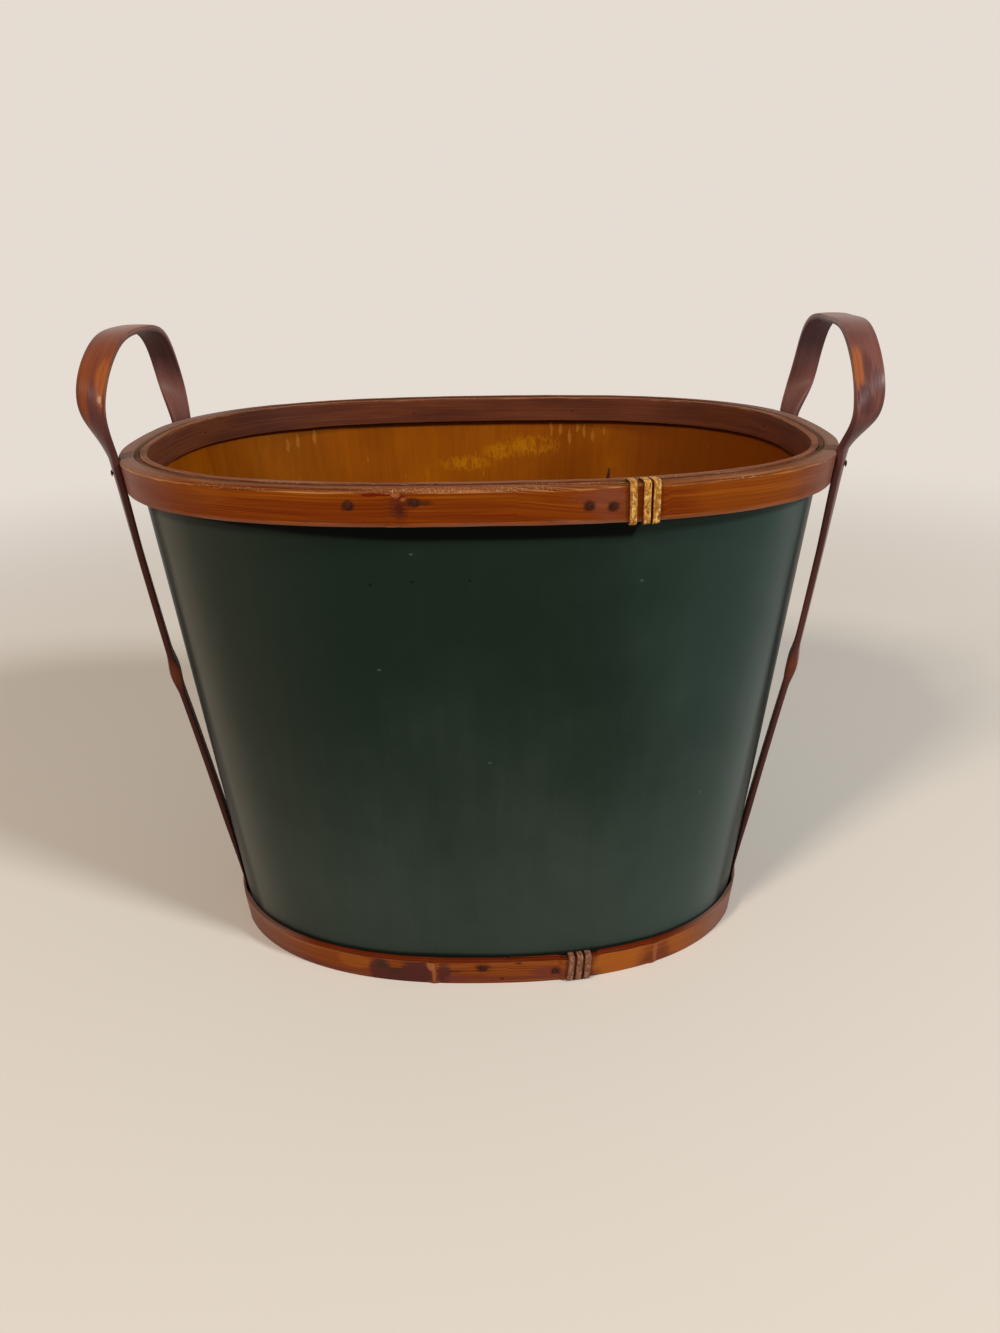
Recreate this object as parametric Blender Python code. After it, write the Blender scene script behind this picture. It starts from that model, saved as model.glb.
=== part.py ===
"""An oval magazine basket: a bent sheet wall framed with split-bamboo hoops and two strip handles.

The wall tapers from a wide rim to a narrower foot. An outer and an inner hoop clamp its rim, one hoop binds
its foot round the base board, and each handle is one bamboo strip that runs up the outside, twists above the
rim and loops over from front to back. Nails pass through the hoops, and cane is wound round the hoops' laps.

Everything is in metres. X runs along the basket, the front faces -Y and Z is up. The basket stands on Z = 0.
"""

import bmesh
import bpy
import numpy as np

# The basket as a whole, measured over its hoops
RIM_LENGTH = 0.400
RIM_WIDTH = 0.300
FOOT_LENGTH = 0.334
FOOT_WIDTH = 0.234
BODY_HEIGHT = 0.307
RIM_SQUARENESS = 2.60
FOOT_SQUARENESS = 2.34

# Stock
WALL_THICKNESS = 0.0024
TOP_HOOP_THICKNESS = 0.0080
TOP_HOOP_HEIGHT = 0.0184
INNER_HOOP_THICKNESS = 0.0038
INNER_HOOP_HEIGHT = 0.0161
FOOT_HOOP_THICKNESS = 0.0035
FOOT_HOOP_HEIGHT = 0.0184
BASE_THICKNESS = 0.0080
BASE_LIFT = 0.0060
CANE_WIDTH = 0.0038
CANE_THICKNESS = 0.0011

# Fits and edges
GAP = 0.0003
WALL_RIM_DROP = 0.0008
WALL_FOOT_LIFT = 0.0010
TOP_HOOP_ROUNDING = 0.0019
EDGE_ROUNDING = 0.0006
BASE_EDGE_ROUNDING = 0.0008
MOST_ROUNDING = 0.45
ARC_MIDDLE = 1.0 - np.cos(np.pi / 4)

# Laps, where the two thinned ends of a bent strip lie over each other
TOP_LAP_X = 0.079
TOP_LAP_LENGTH = 0.060
INNER_LAP_X = -0.020
INNER_LAP_LENGTH = 0.040
FOOT_LAP_X = 0.056
FOOT_LAP_LENGTH = 0.045
WALL_LAP_Y = 0.012
WALL_LAP_LENGTH = 0.025
LAP_TIP = 0.0005
LAP_STEP_RUN = 0.0008

# Cane windings, by the places of their three turns along the front
TOP_WRAPS_X = (0.0703, 0.0766, 0.0810)
FOOT_WRAPS_X = (0.0478, 0.0527, 0.0576)
TOP_WRAP_LEAN = 0.0015
FOOT_WRAP_LEAN = 0.0
WRAP_CORNER_RADIUS = 0.0014
WRAP_CLEARANCE = 0.00035
WRAP_CLIMB = 0.16
CANE_BEVEL = 0.00045
RELIEF_RUN = 0.0025
MIN_STRAND_GAP = 0.0004

# Bamboo nodes on the hoops
NODE_SWELL = 0.0007
NODE_RUN = 0.0035
TOP_NODES_X = (-0.040,)
FOOT_NODES_X = (-0.033, 0.099)

# Handles
STRIP_WIDTH = 0.0156
STRIP_THICKNESS = 0.0038
STRIP_EDGE = 0.0005
STRIP_SHOULDER = 0.0015
STRIP_CREST = 0.0062
STRIP_CROWN = 0.0004
TUCK_THICKNESS = 0.0010
TUCK_DEPTH = 0.0145
TUCK_RUN = 0.0600
LEG_SPREAD_FOOT = 0.0290
LEG_NODE_HEIGHT = 0.1790
LEG_NODE_STANDOFF = 0.0090
LEG_NODE_SWELL = 0.0026
LEG_NODE_RUN = 0.0140
LEG_RIM_STANDOFF = 0.0004
LEG_RIM_LEAN = 0.0003
LEG_CURL_RUN = 0.0400
LEG_FOOT_CURVE = 1.35
LEG_TOP_CURVE = 1.50
# Each handle is set out from its nails: spreads are to either side of its middle, heights are above the rim
# and leans are outwards from the legs' nails, but the top's lean is from the rim's end
LEFT_HANDLE = {
    "side": -1,
    "middle": -0.0016,
    "leg_spread": 0.0606,
    "loop_spread": 0.0652,
    "loop_height": 0.0256,
    "loop_lean": 0.0047,
    "shoulder_spread": 0.0404,
    "shoulder_height": 0.0531,
    "shoulder_lean": 0.0034,
    "top_height": 0.0594,
    "top_lean": -0.0055,
    "twist_height": 0.0560,
}
RIGHT_HANDLE = {
    "side": 1,
    "middle": -0.0075,
    "leg_spread": 0.0582,
    "loop_spread": 0.0650,
    "loop_height": 0.0190,
    "loop_lean": 0.0068,
    "shoulder_spread": 0.0428,
    "shoulder_height": 0.0536,
    "shoulder_lean": 0.0070,
    "top_height": 0.0602,
    "top_lean": -0.0004,
    "twist_height": 0.0450,
}
# Over a handle's tucked end the foot hoop is hollowed behind and drawn in a little in front
TUCK_HOLLOW_WIDTH = 0.0095
TUCK_HOLLOW_RUN = 0.0140
TUCK_PINCH = 0.0006

# Nails: a place is how far right of the middle it is, and how far below the rim or above the floor
NAIL_RADIUS = 0.0009
NAIL_HEAD_RADIUS = 0.0018
NAIL_HEAD_HEIGHT = 0.0008
NAIL_HEAD_SHAPE = ((1.0, 0.35), (0.75, 0.80), (0.30, 1.0), (0.0, 1.0))
NAIL_CLEARANCE = 0.0004
NAIL_POINT = 0.0006
NAIL_POINT_WIDTH = 0.4
HOLE_END = 0.002
HANDLE_NAIL_DROP = 0.0080
RIM_NAILS_FRONT = ((-0.0581, 0.0078), (-0.0285, 0.0064), (0.0502, 0.0095), (0.0611, 0.0102))
RIM_NAILS_BACK = ((-0.0495, 0.0095), (0.0650, 0.0095))
BEND_RADIUS = 0.0021
BENT_POINT_RISE = 0.0160
BENT_POINT_LEAN = 0.0017
BENT_POINT_SHAPE = ((0.5, 1.0), (0.8, 0.8), (1.0, 0.35))
FOOT_NAILS_FRONT = ((-0.0037, 0.0120), (0.0388, 0.0080))
FOOT_NAILS_BACK = ((-0.0500, 0.0100), (0.0500, 0.0100))
FOOT_END_NAIL_HEIGHT = 0.0100
FOOT_NAIL_BITE = 0.0070

# Smoothness
STATIONS = 84
CLOSEST_STATIONS = 0.25
SHARP_ANGLE = 35.0
TABLE_SAMPLES = 4001
LEG_STATIONS = 7
LOOP_STATIONS = 45
WRAP_POINTS = 24
NAIL_SIDES = 8
LEG_NODE_STATIONS = (-1.0, -0.4, 0.0, 0.4, 1.0)
LEG_CHORD_TURN = 0.001
SMALL_TURN = 0.0001

# Colour, roughness and metalness of each finish
FINISHES = {
    "wall_green": ((0.020, 0.040, 0.030), 0.35, 0.0),
    "base_wood": ((0.300, 0.140, 0.030), 0.60, 0.0),
    "hoop_bamboo": ((0.260, 0.070, 0.012), 0.40, 0.0),
    "inner_bamboo": ((0.085, 0.025, 0.015), 0.50, 0.0),
    "handle_bamboo": ((0.180, 0.040, 0.018), 0.35, 0.0),
    "rim_cane": ((0.420, 0.240, 0.080), 0.60, 0.0),
    "foot_cane": ((0.260, 0.140, 0.080), 0.65, 0.0),
    "nail_iron": ((0.050, 0.040, 0.035), 0.50, 0.9),
}

WALL_INSIDE = -WALL_THICKNESS
TOP_HOOP_INSIDE = GAP
TOP_HOOP_OUTSIDE = GAP + TOP_HOOP_THICKNESS
FOOT_HOOP_INSIDE = GAP
FOOT_HOOP_OUTSIDE = GAP + FOOT_HOOP_THICKNESS
INNER_HOOP_OUTSIDE = WALL_INSIDE - GAP
INNER_HOOP_INSIDE = INNER_HOOP_OUTSIDE - INNER_HOOP_THICKNESS
RIM_NAIL_TIP = INNER_HOOP_INSIDE - GAP
STRAND_ROOM = CANE_THICKNESS + 2 * WRAP_CLEARANCE
UP = np.array([0.0, 0.0, 1.0])


def clear_scene():
    for old in list(bpy.data.objects):
        bpy.data.objects.remove(old, do_unlink=True)


def make_materials():
    for name, (colour, roughness, metallic) in FINISHES.items():
        material = bpy.data.materials.new(name)
        material.use_nodes = True
        shader = material.node_tree.nodes["Principled BSDF"]
        shader.inputs["Base Color"].default_value = (*colour, 1.0)
        shader.inputs["Roughness"].default_value = roughness
        shader.inputs["Metallic"].default_value = metallic


def smooth(x):
    """Ease from 0 to 1 as x goes from 0 to 1, flat at both ends."""
    x = np.clip(x, 0.0, 1.0)
    return x * x * (3.0 - 2.0 * x)


def bump(distance, flat, run):
    """1 within flat of the middle, easing to 0 over the run beyond it."""
    return 1.0 - smooth((np.abs(distance) - flat) / run)


def oval(angle, half_length, half_width, squareness):
    """Points and outward normals of a superellipse, for an array of angles."""
    cos, sin = np.cos(angle), np.sin(angle)
    power = 2.0 / squareness
    x = half_length * np.sign(cos) * np.abs(cos) ** power
    y = half_width * np.sign(sin) * np.abs(sin) ** power
    grow = 2.0 - power
    normal = np.stack([
        np.sign(cos) * np.abs(cos) ** grow / half_length,
        np.sign(sin) * np.abs(sin) ** grow / half_width,
    ], axis=-1)
    normal /= np.linalg.norm(normal, axis=-1, keepdims=True)
    return np.stack([x, y], axis=-1), normal


def wall_face(angle, height, offset):
    """Points on the wall's outer face, or offset out from it, at angles and heights.

    Straight lines join the foot oval to the rim oval, as in a sheet bent one way only.
    """
    angle, height, offset = np.broadcast_arrays(np.asarray(angle, float), height, offset)
    foot, foot_normal = oval(angle, FOOT_LENGTH / 2 - FOOT_HOOP_OUTSIDE, FOOT_WIDTH / 2 - FOOT_HOOP_OUTSIDE,
                             FOOT_SQUARENESS)
    rim, rim_normal = oval(angle, RIM_LENGTH / 2 - TOP_HOOP_OUTSIDE, RIM_WIDTH / 2 - TOP_HOOP_OUTSIDE,
                           RIM_SQUARENESS)
    share = (height / BODY_HEIGHT)[..., None]
    normal = foot_normal * (1 - share) + rim_normal * share
    normal /= np.linalg.norm(normal, axis=-1, keepdims=True)
    flat = foot * (1 - share) + rim * share + normal * offset[..., None]
    return np.concatenate([flat, height[..., None]], axis=-1)


def turn_table():
    """Wall angles against turns: 0 at +X, through the back, 1 after a round, in even steps along the rim."""
    angles = np.linspace(0.0, 2 * np.pi, TABLE_SAMPLES)
    steps = np.linalg.norm(np.diff(wall_face(angles, BODY_HEIGHT, 0.0), axis=0), axis=1)
    lengths = np.concatenate([[0.0], np.cumsum(steps)])
    return angles, lengths / lengths[-1]


ANGLES, TURNS = turn_table()
EVEN_TURNS = np.arange(STATIONS) / STATIONS


def angle_at(turn):
    """Every ring shares the rim's steps, so that nested rings have matching facets."""
    rounds = np.floor(turn)
    return np.interp(turn - rounds, TURNS, ANGLES) + rounds * 2 * np.pi


def turn_of_x(x, height, front=True):
    """Where the front or the back of the wall has this x, at a height."""
    points = wall_face(ANGLES, height, 0.0)
    half = TURNS >= 0.5 if front else TURNS <= 0.5
    order = np.argsort(points[half, 0])
    return float(np.interp(x, points[half, 0][order], TURNS[half][order]))


def turn_of_y(y, height, side):
    """Where the right (+1) or the left (-1) end of the wall has this y, at a height."""
    points = wall_face(ANGLES, height, 0.0)
    centred = np.where(TURNS > 0.75, TURNS - 1.0, TURNS)
    end = np.abs(centred) <= 0.25 if side > 0 else np.abs(centred - 0.5) <= 0.25
    order = np.argsort(points[end, 1])
    return float(np.interp(y, points[end, 1][order], centred[end][order]))


def round_length(height):
    """Length of the wall's outer face once round at a height."""
    return float(np.sum(np.linalg.norm(np.diff(wall_face(ANGLES, height, 0.0), axis=0), axis=1)))


def add_skin(mesh_maker, sections):
    """Join sections of equal point counts into one closed skin."""
    size = len(sections[0])
    rows = [[mesh_maker.verts.new(point) for point in section] for section in sections]
    for here, there in zip(rows, rows[1:]):
        for j in range(size):
            k = (j + 1) % size
            mesh_maker.faces.new((here[j], here[k], there[k], there[j]))
    mesh_maker.faces.new(rows[0])
    mesh_maker.faces.new(rows[-1])


def loft(name, sections, slot):
    """One solid from sections of equal point counts, capped at its ends."""
    mesh_maker = bmesh.new()
    add_skin(mesh_maker, sections)
    return finish(name, mesh_maker, slot)


def finish(name, mesh_maker, slot):
    bmesh.ops.recalc_face_normals(mesh_maker, faces=mesh_maker.faces)
    mesh = bpy.data.meshes.new(name)
    mesh_maker.to_mesh(mesh)
    mesh_maker.free()
    mesh.shade_smooth()
    mesh.set_sharp_from_angle(angle=np.radians(SHARP_ANGLE))
    mesh.materials.append(bpy.data.materials[slot])
    piece = bpy.data.objects.new(name, mesh)
    bpy.context.collection.objects.link(piece)
    return piece


def band_section(inner, outer, low, high, top_rounding, edge_rounding):
    """Offsets and heights round the section of a band, for arrays of its four sides."""
    top = np.minimum(top_rounding, (outer - inner) * MOST_ROUNDING)
    edge = np.minimum(edge_rounding, (outer - inner) * MOST_ROUNDING)
    top_drop = np.minimum(top_rounding, (high - low) * MOST_ROUNDING)
    edge_drop = np.minimum(edge_rounding, (high - low) * MOST_ROUNDING)
    offsets = [inner, inner, inner + edge, outer - top, outer - top * ARC_MIDDLE, outer, outer, outer - edge,
               inner + edge]
    heights = [low + edge_drop, high - edge_drop, high, high, high - top_drop * ARC_MIDDLE, high - top_drop,
               low + edge_drop, low, low]
    return np.stack(np.broadcast_arrays(*offsets), axis=-1), np.stack(np.broadcast_arrays(*heights), axis=-1)


def place_sections(turns, offsets, heights):
    return wall_face(angle_at(turns)[:, None], heights, offsets)


def lapped_turns(tip_turn, lap, step, extra):
    """Stations of a strip that starts lap before tip_turn and ends on it one round later."""
    start, end = tip_turn - lap, tip_turn + 1.0
    spacing = CLOSEST_STATIONS / STATIONS
    steps = np.array([tip_turn + step, tip_turn + 2 * step, end - lap - 2 * step, end - lap - step])
    extra = np.asarray(extra, float)
    marks = np.concatenate([steps, extra - 1, extra, extra + 1])
    even = np.concatenate([EVEN_TURNS - 1, EVEN_TURNS, EVEN_TURNS + 1])
    even = even[np.min(np.abs(even[:, None] - marks), axis=1) > spacing]
    pool = np.sort(np.concatenate([marks, even]))
    inside = pool[(pool > start + step / 2) & (pool < end - step / 2)]
    return np.concatenate([[start], inside, [end]])


def lapped_layers(turns, tip_turn, lap, step, inner, outer):
    """Inner and outer offsets of a strip whose ends are scarfed to lie over each other.

    The first end lies inside and grows from a thin tip. The last end lies outside and thins to its tip.
    """
    slope = (outer - inner) - 2 * LAP_TIP - GAP
    first = np.clip((turns - (tip_turn - lap)) / lap, 0.0, 1.0)
    last = np.clip((turns - (tip_turn + 1.0 - lap)) / lap, 0.0, 1.0)
    open_first = np.clip((turns - tip_turn - step) / step, 0.0, 1.0)
    open_last = np.clip((turns - (tip_turn + 1.0 - lap - 2 * step)) / step, 0.0, 1.0)
    thin_outer = inner + LAP_TIP + slope * first
    thin_inner = inner + LAP_TIP + GAP + slope * last
    new_outer = thin_outer * (1 - open_first) + outer * open_first
    new_inner = inner * (1 - open_last) + thin_inner * open_last
    return new_inner, new_outer


def turn_distance(turns, mark):
    """Turns from a mark, the short way round."""
    return (turns - mark + 0.5) % 1.0 - 0.5


def around(mark, *distances):
    """Stations on both sides of a mark at these distances."""
    return mark + np.array([-d for d in reversed(distances)] + [0.0] + list(distances))


def wrap_places(wraps_x, height):
    """Turns of a winding's wraps, with its start and end halfway to the next wrap there would be."""
    wraps = np.array([turn_of_x(x, height) for x in wraps_x])
    between = (wraps[1:] + wraps[:-1]) / 2
    return wraps, np.concatenate([[2 * wraps[0] - between[0]], between, [2 * wraps[-1] - between[-1]]])


def wrap_zone(wraps_x, height):
    """Middle and half width, in turns, of the part of a hoop that a cane winding covers."""
    _, between = wrap_places(wraps_x, height)
    margin = (CANE_WIDTH / 2 + WRAP_CLEARANCE) / round_length(height)
    return (between[0] + between[-1]) / 2, (between[-1] - between[0]) / 2 + margin


def leg_turn(handle, front, height):
    """Turn of a handle leg at a height: the legs close in towards the foot, evenly with height."""
    share = height / BODY_HEIGHT
    spread = LEG_SPREAD_FOOT * (1 - share) + handle["leg_spread"] * share
    shift = handle["middle"] * share
    y = shift - spread if front else shift + spread
    return turn_of_y(y, height, handle["side"])


def make_wall():
    tip = turn_of_y(WALL_LAP_Y, BODY_HEIGHT, 1)
    lap = WALL_LAP_LENGTH / round_length(BODY_HEIGHT)
    step = LAP_STEP_RUN / round_length(BODY_HEIGHT)
    turns = lapped_turns(tip, lap, step, [])
    inner, outer = lapped_layers(turns, tip, lap, step, WALL_INSIDE, 0.0)
    low, high = WALL_FOOT_LIFT, BODY_HEIGHT - WALL_RIM_DROP
    levels = [low, FOOT_HOOP_HEIGHT, BODY_HEIGHT - TOP_HOOP_HEIGHT, high]
    offsets = np.stack([inner] * len(levels) + [outer] * len(levels), axis=-1)
    heights = np.array(levels + levels[::-1])[None, :] + np.zeros((len(turns), 1))
    return loft("wall_panel", place_sections(turns, offsets, heights), "wall_green")


def make_base():
    """The oval board that fills the foot of the wall."""
    side = WALL_INSIDE - GAP
    edge = BASE_EDGE_ROUNDING
    rings = [
        (side - edge, BASE_LIFT),
        (side, BASE_LIFT + edge),
        (side, BASE_LIFT + BASE_THICKNESS - edge),
        (side - edge, BASE_LIFT + BASE_THICKNESS),
    ]
    sections = np.stack([wall_face(angle_at(EVEN_TURNS), height, offset) for offset, height in rings])
    return loft("base_board", sections, "base_wood")


def make_top_outer_hoop():
    length = round_length(BODY_HEIGHT)
    tip = turn_of_x(TOP_LAP_X, BODY_HEIGHT)
    lap, step = TOP_LAP_LENGTH / length, LAP_STEP_RUN / length
    relief_run, node_run = RELIEF_RUN / length, NODE_RUN / length
    zone, reach = wrap_zone(TOP_WRAPS_X, BODY_HEIGHT)
    nodes = [turn_of_x(x, BODY_HEIGHT) for x in TOP_NODES_X]
    extra = [around(zone, reach, reach + relief_run)]
    extra += [around(node, node_run / 2, node_run) for node in nodes]
    turns = lapped_turns(tip, lap, step, np.concatenate(extra))
    relief = bump(turn_distance(turns, zone), reach, relief_run) * (STRAND_ROOM - GAP)
    swell = sum(bump(turn_distance(turns, node), 0.0, node_run) for node in nodes) * NODE_SWELL
    inner, outer = lapped_layers(turns, tip, lap, step, TOP_HOOP_INSIDE + relief, TOP_HOOP_OUTSIDE)
    outer = outer + swell
    low = np.full(len(turns), BODY_HEIGHT - TOP_HOOP_HEIGHT)
    high = np.full(len(turns), BODY_HEIGHT)
    offsets, heights = band_section(inner, outer, low, high, TOP_HOOP_ROUNDING, EDGE_ROUNDING)
    return loft("top_outer_hoop", place_sections(turns, offsets, heights), "hoop_bamboo")


def make_top_inner_hoop():
    tip = turn_of_x(INNER_LAP_X, BODY_HEIGHT)
    lap = INNER_LAP_LENGTH / round_length(BODY_HEIGHT)
    step = LAP_STEP_RUN / round_length(BODY_HEIGHT)
    turns = lapped_turns(tip, lap, step, [])
    inner, outer = lapped_layers(turns, tip, lap, step, INNER_HOOP_INSIDE, INNER_HOOP_OUTSIDE)
    low = np.full(len(turns), BODY_HEIGHT - INNER_HOOP_HEIGHT)
    high = np.full(len(turns), BODY_HEIGHT)
    offsets, heights = band_section(inner, outer, low, high, EDGE_ROUNDING, EDGE_ROUNDING)
    return loft("top_inner_hoop", place_sections(turns, offsets, heights), "inner_bamboo")


def make_bottom_hoop():
    """The foot hoop makes room for the handles' ends behind it, and for the cane behind and below it."""
    middle = FOOT_HOOP_HEIGHT / 2
    length = round_length(middle)
    tip = turn_of_x(FOOT_LAP_X, middle)
    lap, step = FOOT_LAP_LENGTH / length, LAP_STEP_RUN / length
    relief_run, node_run = RELIEF_RUN / length, NODE_RUN / length
    hollow, hollow_run = TUCK_HOLLOW_WIDTH / length, TUCK_HOLLOW_RUN / length
    zone, reach = wrap_zone(FOOT_WRAPS_X, middle)
    nodes = [turn_of_x(x, middle) for x in FOOT_NODES_X]
    legs = []
    for handle in (LEFT_HANDLE, RIGHT_HANDLE):
        legs += [leg_turn(handle, True, middle), leg_turn(handle, False, middle)]
    extra = [around(zone, reach, reach + relief_run)]
    extra += [around(node, node_run / 2, node_run) for node in nodes]
    extra += [around(leg, hollow, hollow + hollow_run) for leg in legs]
    turns = lapped_turns(tip, lap, step, np.concatenate(extra))
    wrapped = bump(turn_distance(turns, zone), reach, relief_run)
    tucked = np.max([bump(turn_distance(turns, leg), hollow, hollow_run) for leg in legs], axis=0)
    lift = wrapped * (STRAND_ROOM - GAP)
    inside = FOOT_HOOP_INSIDE + lift + tucked * (TUCK_THICKNESS + GAP)
    outside = FOOT_HOOP_OUTSIDE + lift - tucked * TUCK_PINCH
    swell = sum(bump(turn_distance(turns, node), 0.0, node_run) for node in nodes) * NODE_SWELL
    inner, outer = lapped_layers(turns, tip, lap, step, inside, outside)
    outer = outer + swell
    low = wrapped * STRAND_ROOM
    high = np.full(len(turns), FOOT_HOOP_HEIGHT)
    offsets, heights = band_section(inner, outer, low, high, EDGE_ROUNDING, EDGE_ROUNDING)
    return loft("bottom_hoop", place_sections(turns, offsets, heights), "hoop_bamboo")


def wrap_route(inner, outer, low, high):
    """One round of cane about a hoop's section, from inside its inner face, under, up the front and over.

    Returns offsets, heights and outward directions in the section's plane, at even steps of a rounded box.
    """
    radius = WRAP_CORNER_RADIUS
    middle = (low + high) / 2
    corners = [
        ((inner + radius, low + radius), np.radians(180)),
        ((outer - radius, low + radius), np.radians(270)),
        ((outer - radius, high - radius), np.radians(0)),
        ((inner + radius, high - radius), np.radians(90)),
    ]
    route = [((inner, middle), np.radians(180))]
    for (centre_offset, centre_height), start in corners:
        for sweep in np.radians([0, 30, 60, 90]):
            angle = start + sweep
            point = (centre_offset + radius * np.cos(angle), centre_height + radius * np.sin(angle))
            route.append((point, angle))
    route.append(((inner, middle), np.radians(540)))
    points = np.array([point for point, angle in route])
    angles = np.unwrap(np.array([angle for point, angle in route]))
    spans = np.linalg.norm(np.diff(points, axis=0), axis=1)
    along = np.concatenate([[0.0], np.cumsum(spans)])
    while len(along) < WRAP_POINTS + 1:
        widest = int(np.argmax(np.diff(along)))
        along = np.insert(along, widest + 1, (along[widest] + along[widest + 1]) / 2)
        points = np.insert(points, widest + 1, (points[widest] + points[widest + 1]) / 2, axis=0)
        angles = np.insert(angles, widest + 1, (angles[widest] + angles[widest + 1]) / 2)
    return points, angles, along / along[-1]


def make_lashing(name, wraps_x, lean, level, hoop_outside, hoop_low, hoop_high, slot):
    """Flat cane wound round a hoop as one strand, a turn for each place in wraps_x.

    lean is how much further right a turn is at the hoop's lower edge than at its upper one.
    """
    clear = WRAP_CLEARANCE + CANE_THICKNESS / 2
    points, angles, share = wrap_route(clear, hoop_outside + clear, hoop_low - clear, hoop_high + clear)
    climb_in = smooth(share / WRAP_CLIMB)
    climb_out = smooth((share - 1.0 + WRAP_CLIMB) / WRAP_CLIMB)
    wraps, between = wrap_places(wraps_x, level)
    rows = []
    for start, middle, end in zip(between, wraps, between[1:]):
        turns = start + (middle - start) * climb_in + (end - middle) * climb_out
        rows.append(np.column_stack([turns, points, angles]))
    rows = [row[:-1] for row in rows[:-1]] + rows[-1:]
    turns, offsets, heights, angles = np.concatenate(rows).T
    below_middle = ((hoop_low + hoop_high) / 2 - heights) / (hoop_high - hoop_low)
    turns = turns + below_middle * lean / round_length(level)
    centre = wall_face(angle_at(turns), heights, offsets)
    ahead = wall_face(angle_at(turns + SMALL_TURN), heights, offsets)
    behind = wall_face(angle_at(turns - SMALL_TURN), heights, offsets)
    along_hoop = ahead - behind
    along_hoop /= np.linalg.norm(along_hoop, axis=1, keepdims=True)
    outward = wall_face(angle_at(turns), heights, offsets + CANE_THICKNESS) - centre
    outward /= np.linalg.norm(outward, axis=1, keepdims=True)
    lifted = outward * np.cos(angles)[:, None] + UP * np.sin(angles)[:, None]
    half_width, half_thickness = CANE_WIDTH / 2, CANE_THICKNESS / 2
    flat = half_width - CANE_BEVEL
    outline = [(-half_width, 0), (-flat, half_thickness), (flat, half_thickness),
               (half_width, 0), (flat, -half_thickness), (-flat, -half_thickness)]
    sections = np.stack([centre + along_hoop * w + lifted * t for w, t in outline], axis=1)
    report_strand_gap(name, sections)
    return loft(name, sections, slot)


def report_strand_gap(name, sections):
    """Print the least distance between points of the strand that lie a whole turn apart."""
    edges = sections[:, [0, 3]]
    middles = (edges[1:] + edges[:-1]) / 2
    points = np.concatenate([edges, middles]).reshape(-1, 3)
    order = np.concatenate([np.arange(len(edges)), np.arange(len(middles)) + 0.5]).repeat(2)
    apart = np.abs(order[:, None] - order[None, :]) > WRAP_POINTS / 2
    distance = np.linalg.norm(points[:, None] - points[None, :], axis=-1)
    least = float(np.min(distance[apart]))
    verdict = "clear" if least > MIN_STRAND_GAP else "too close"
    print(f"{name}: least gap of the strand to itself {least * 1000:.2f} mm, {verdict}")


def leg_offset(height):
    """How far the middle of a leg stands out from the wall's outer face at a height.

    The leg leaves the wall slowly above the foot hoop, and closes slowly on the rim hoop above its node.
    """
    hoop_low = BODY_HEIGHT - TOP_HOOP_HEIGHT
    tucked = GAP + TUCK_THICKNESS / 2
    node = LEG_NODE_STANDOFF
    rim = TOP_HOOP_OUTSIDE + LEG_RIM_STANDOFF + STRIP_THICKNESS / 2
    rise = np.clip((height - FOOT_HOOP_HEIGHT) / (LEG_NODE_HEIGHT - FOOT_HOOP_HEIGHT), 0.0, 1.0)
    close = np.clip((hoop_low - height) / (hoop_low - LEG_NODE_HEIGHT), 0.0, 1.0)
    lean = np.clip((height - hoop_low) / TOP_HOOP_HEIGHT, 0.0, 1.0) * LEG_RIM_LEAN
    below = tucked + (node - tucked) * rise ** LEG_FOOT_CURVE
    above = rim - (rim - node) * close ** LEG_TOP_CURVE + lean
    return np.where(height < LEG_NODE_HEIGHT, below, above)


def leg_thickness(height):
    grown = smooth((height - FOOT_HOOP_HEIGHT) / TUCK_RUN)
    node = bump(height - LEG_NODE_HEIGHT, 0.0, LEG_NODE_RUN) * LEG_NODE_SWELL
    return TUCK_THICKNESS + (STRIP_THICKNESS - TUCK_THICKNESS) * grown + node


def leg_points(handle, front):
    """A leg's centre line, width directions, thickness and curl, from its tucked end up to the rim's top.

    The curl is how far the strip's edges bend in, so that it follows the rim hoop's curve behind it.
    """
    hoop_low = BODY_HEIGHT - TOP_HOOP_HEIGHT
    node = LEG_NODE_HEIGHT + np.array(LEG_NODE_STATIONS) * LEG_NODE_RUN
    heights = np.concatenate([
        [FOOT_HOOP_HEIGHT - TUCK_DEPTH],
        np.linspace(FOOT_HOOP_HEIGHT, node[0], LEG_STATIONS)[:-1],
        node,
        np.linspace(node[-1], hoop_low, LEG_STATIONS)[1:],
        [BODY_HEIGHT - HANDLE_NAIL_DROP, BODY_HEIGHT],
    ])
    points = []
    widths = []
    curls = []
    reach = STRIP_WIDTH / 2 / round_length(BODY_HEIGHT)
    for height in heights:
        turn = leg_turn(handle, front, height)
        points.append(wall_face(angle_at(turn), height, leg_offset(height)))
        edges = [wall_face(angle_at(turn + side), height, 0.0) for side in (-reach, reach)]
        sag = np.linalg.norm(wall_face(angle_at(turn), height, 0.0) - (edges[0] + edges[1]) / 2)
        curls.append(sag * smooth((height - hoop_low + LEG_CURL_RUN) / LEG_CURL_RUN))
        ends = [wall_face(angle_at(turn + step), height, 0.0) for step in (-LEG_CHORD_TURN, LEG_CHORD_TURN)]
        chord = ends[1] - ends[0]
        widths.append(chord * np.sign(chord[0] * handle["side"]))
    return np.array(points), np.array(widths), leg_thickness(heights), np.array(curls)


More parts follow.
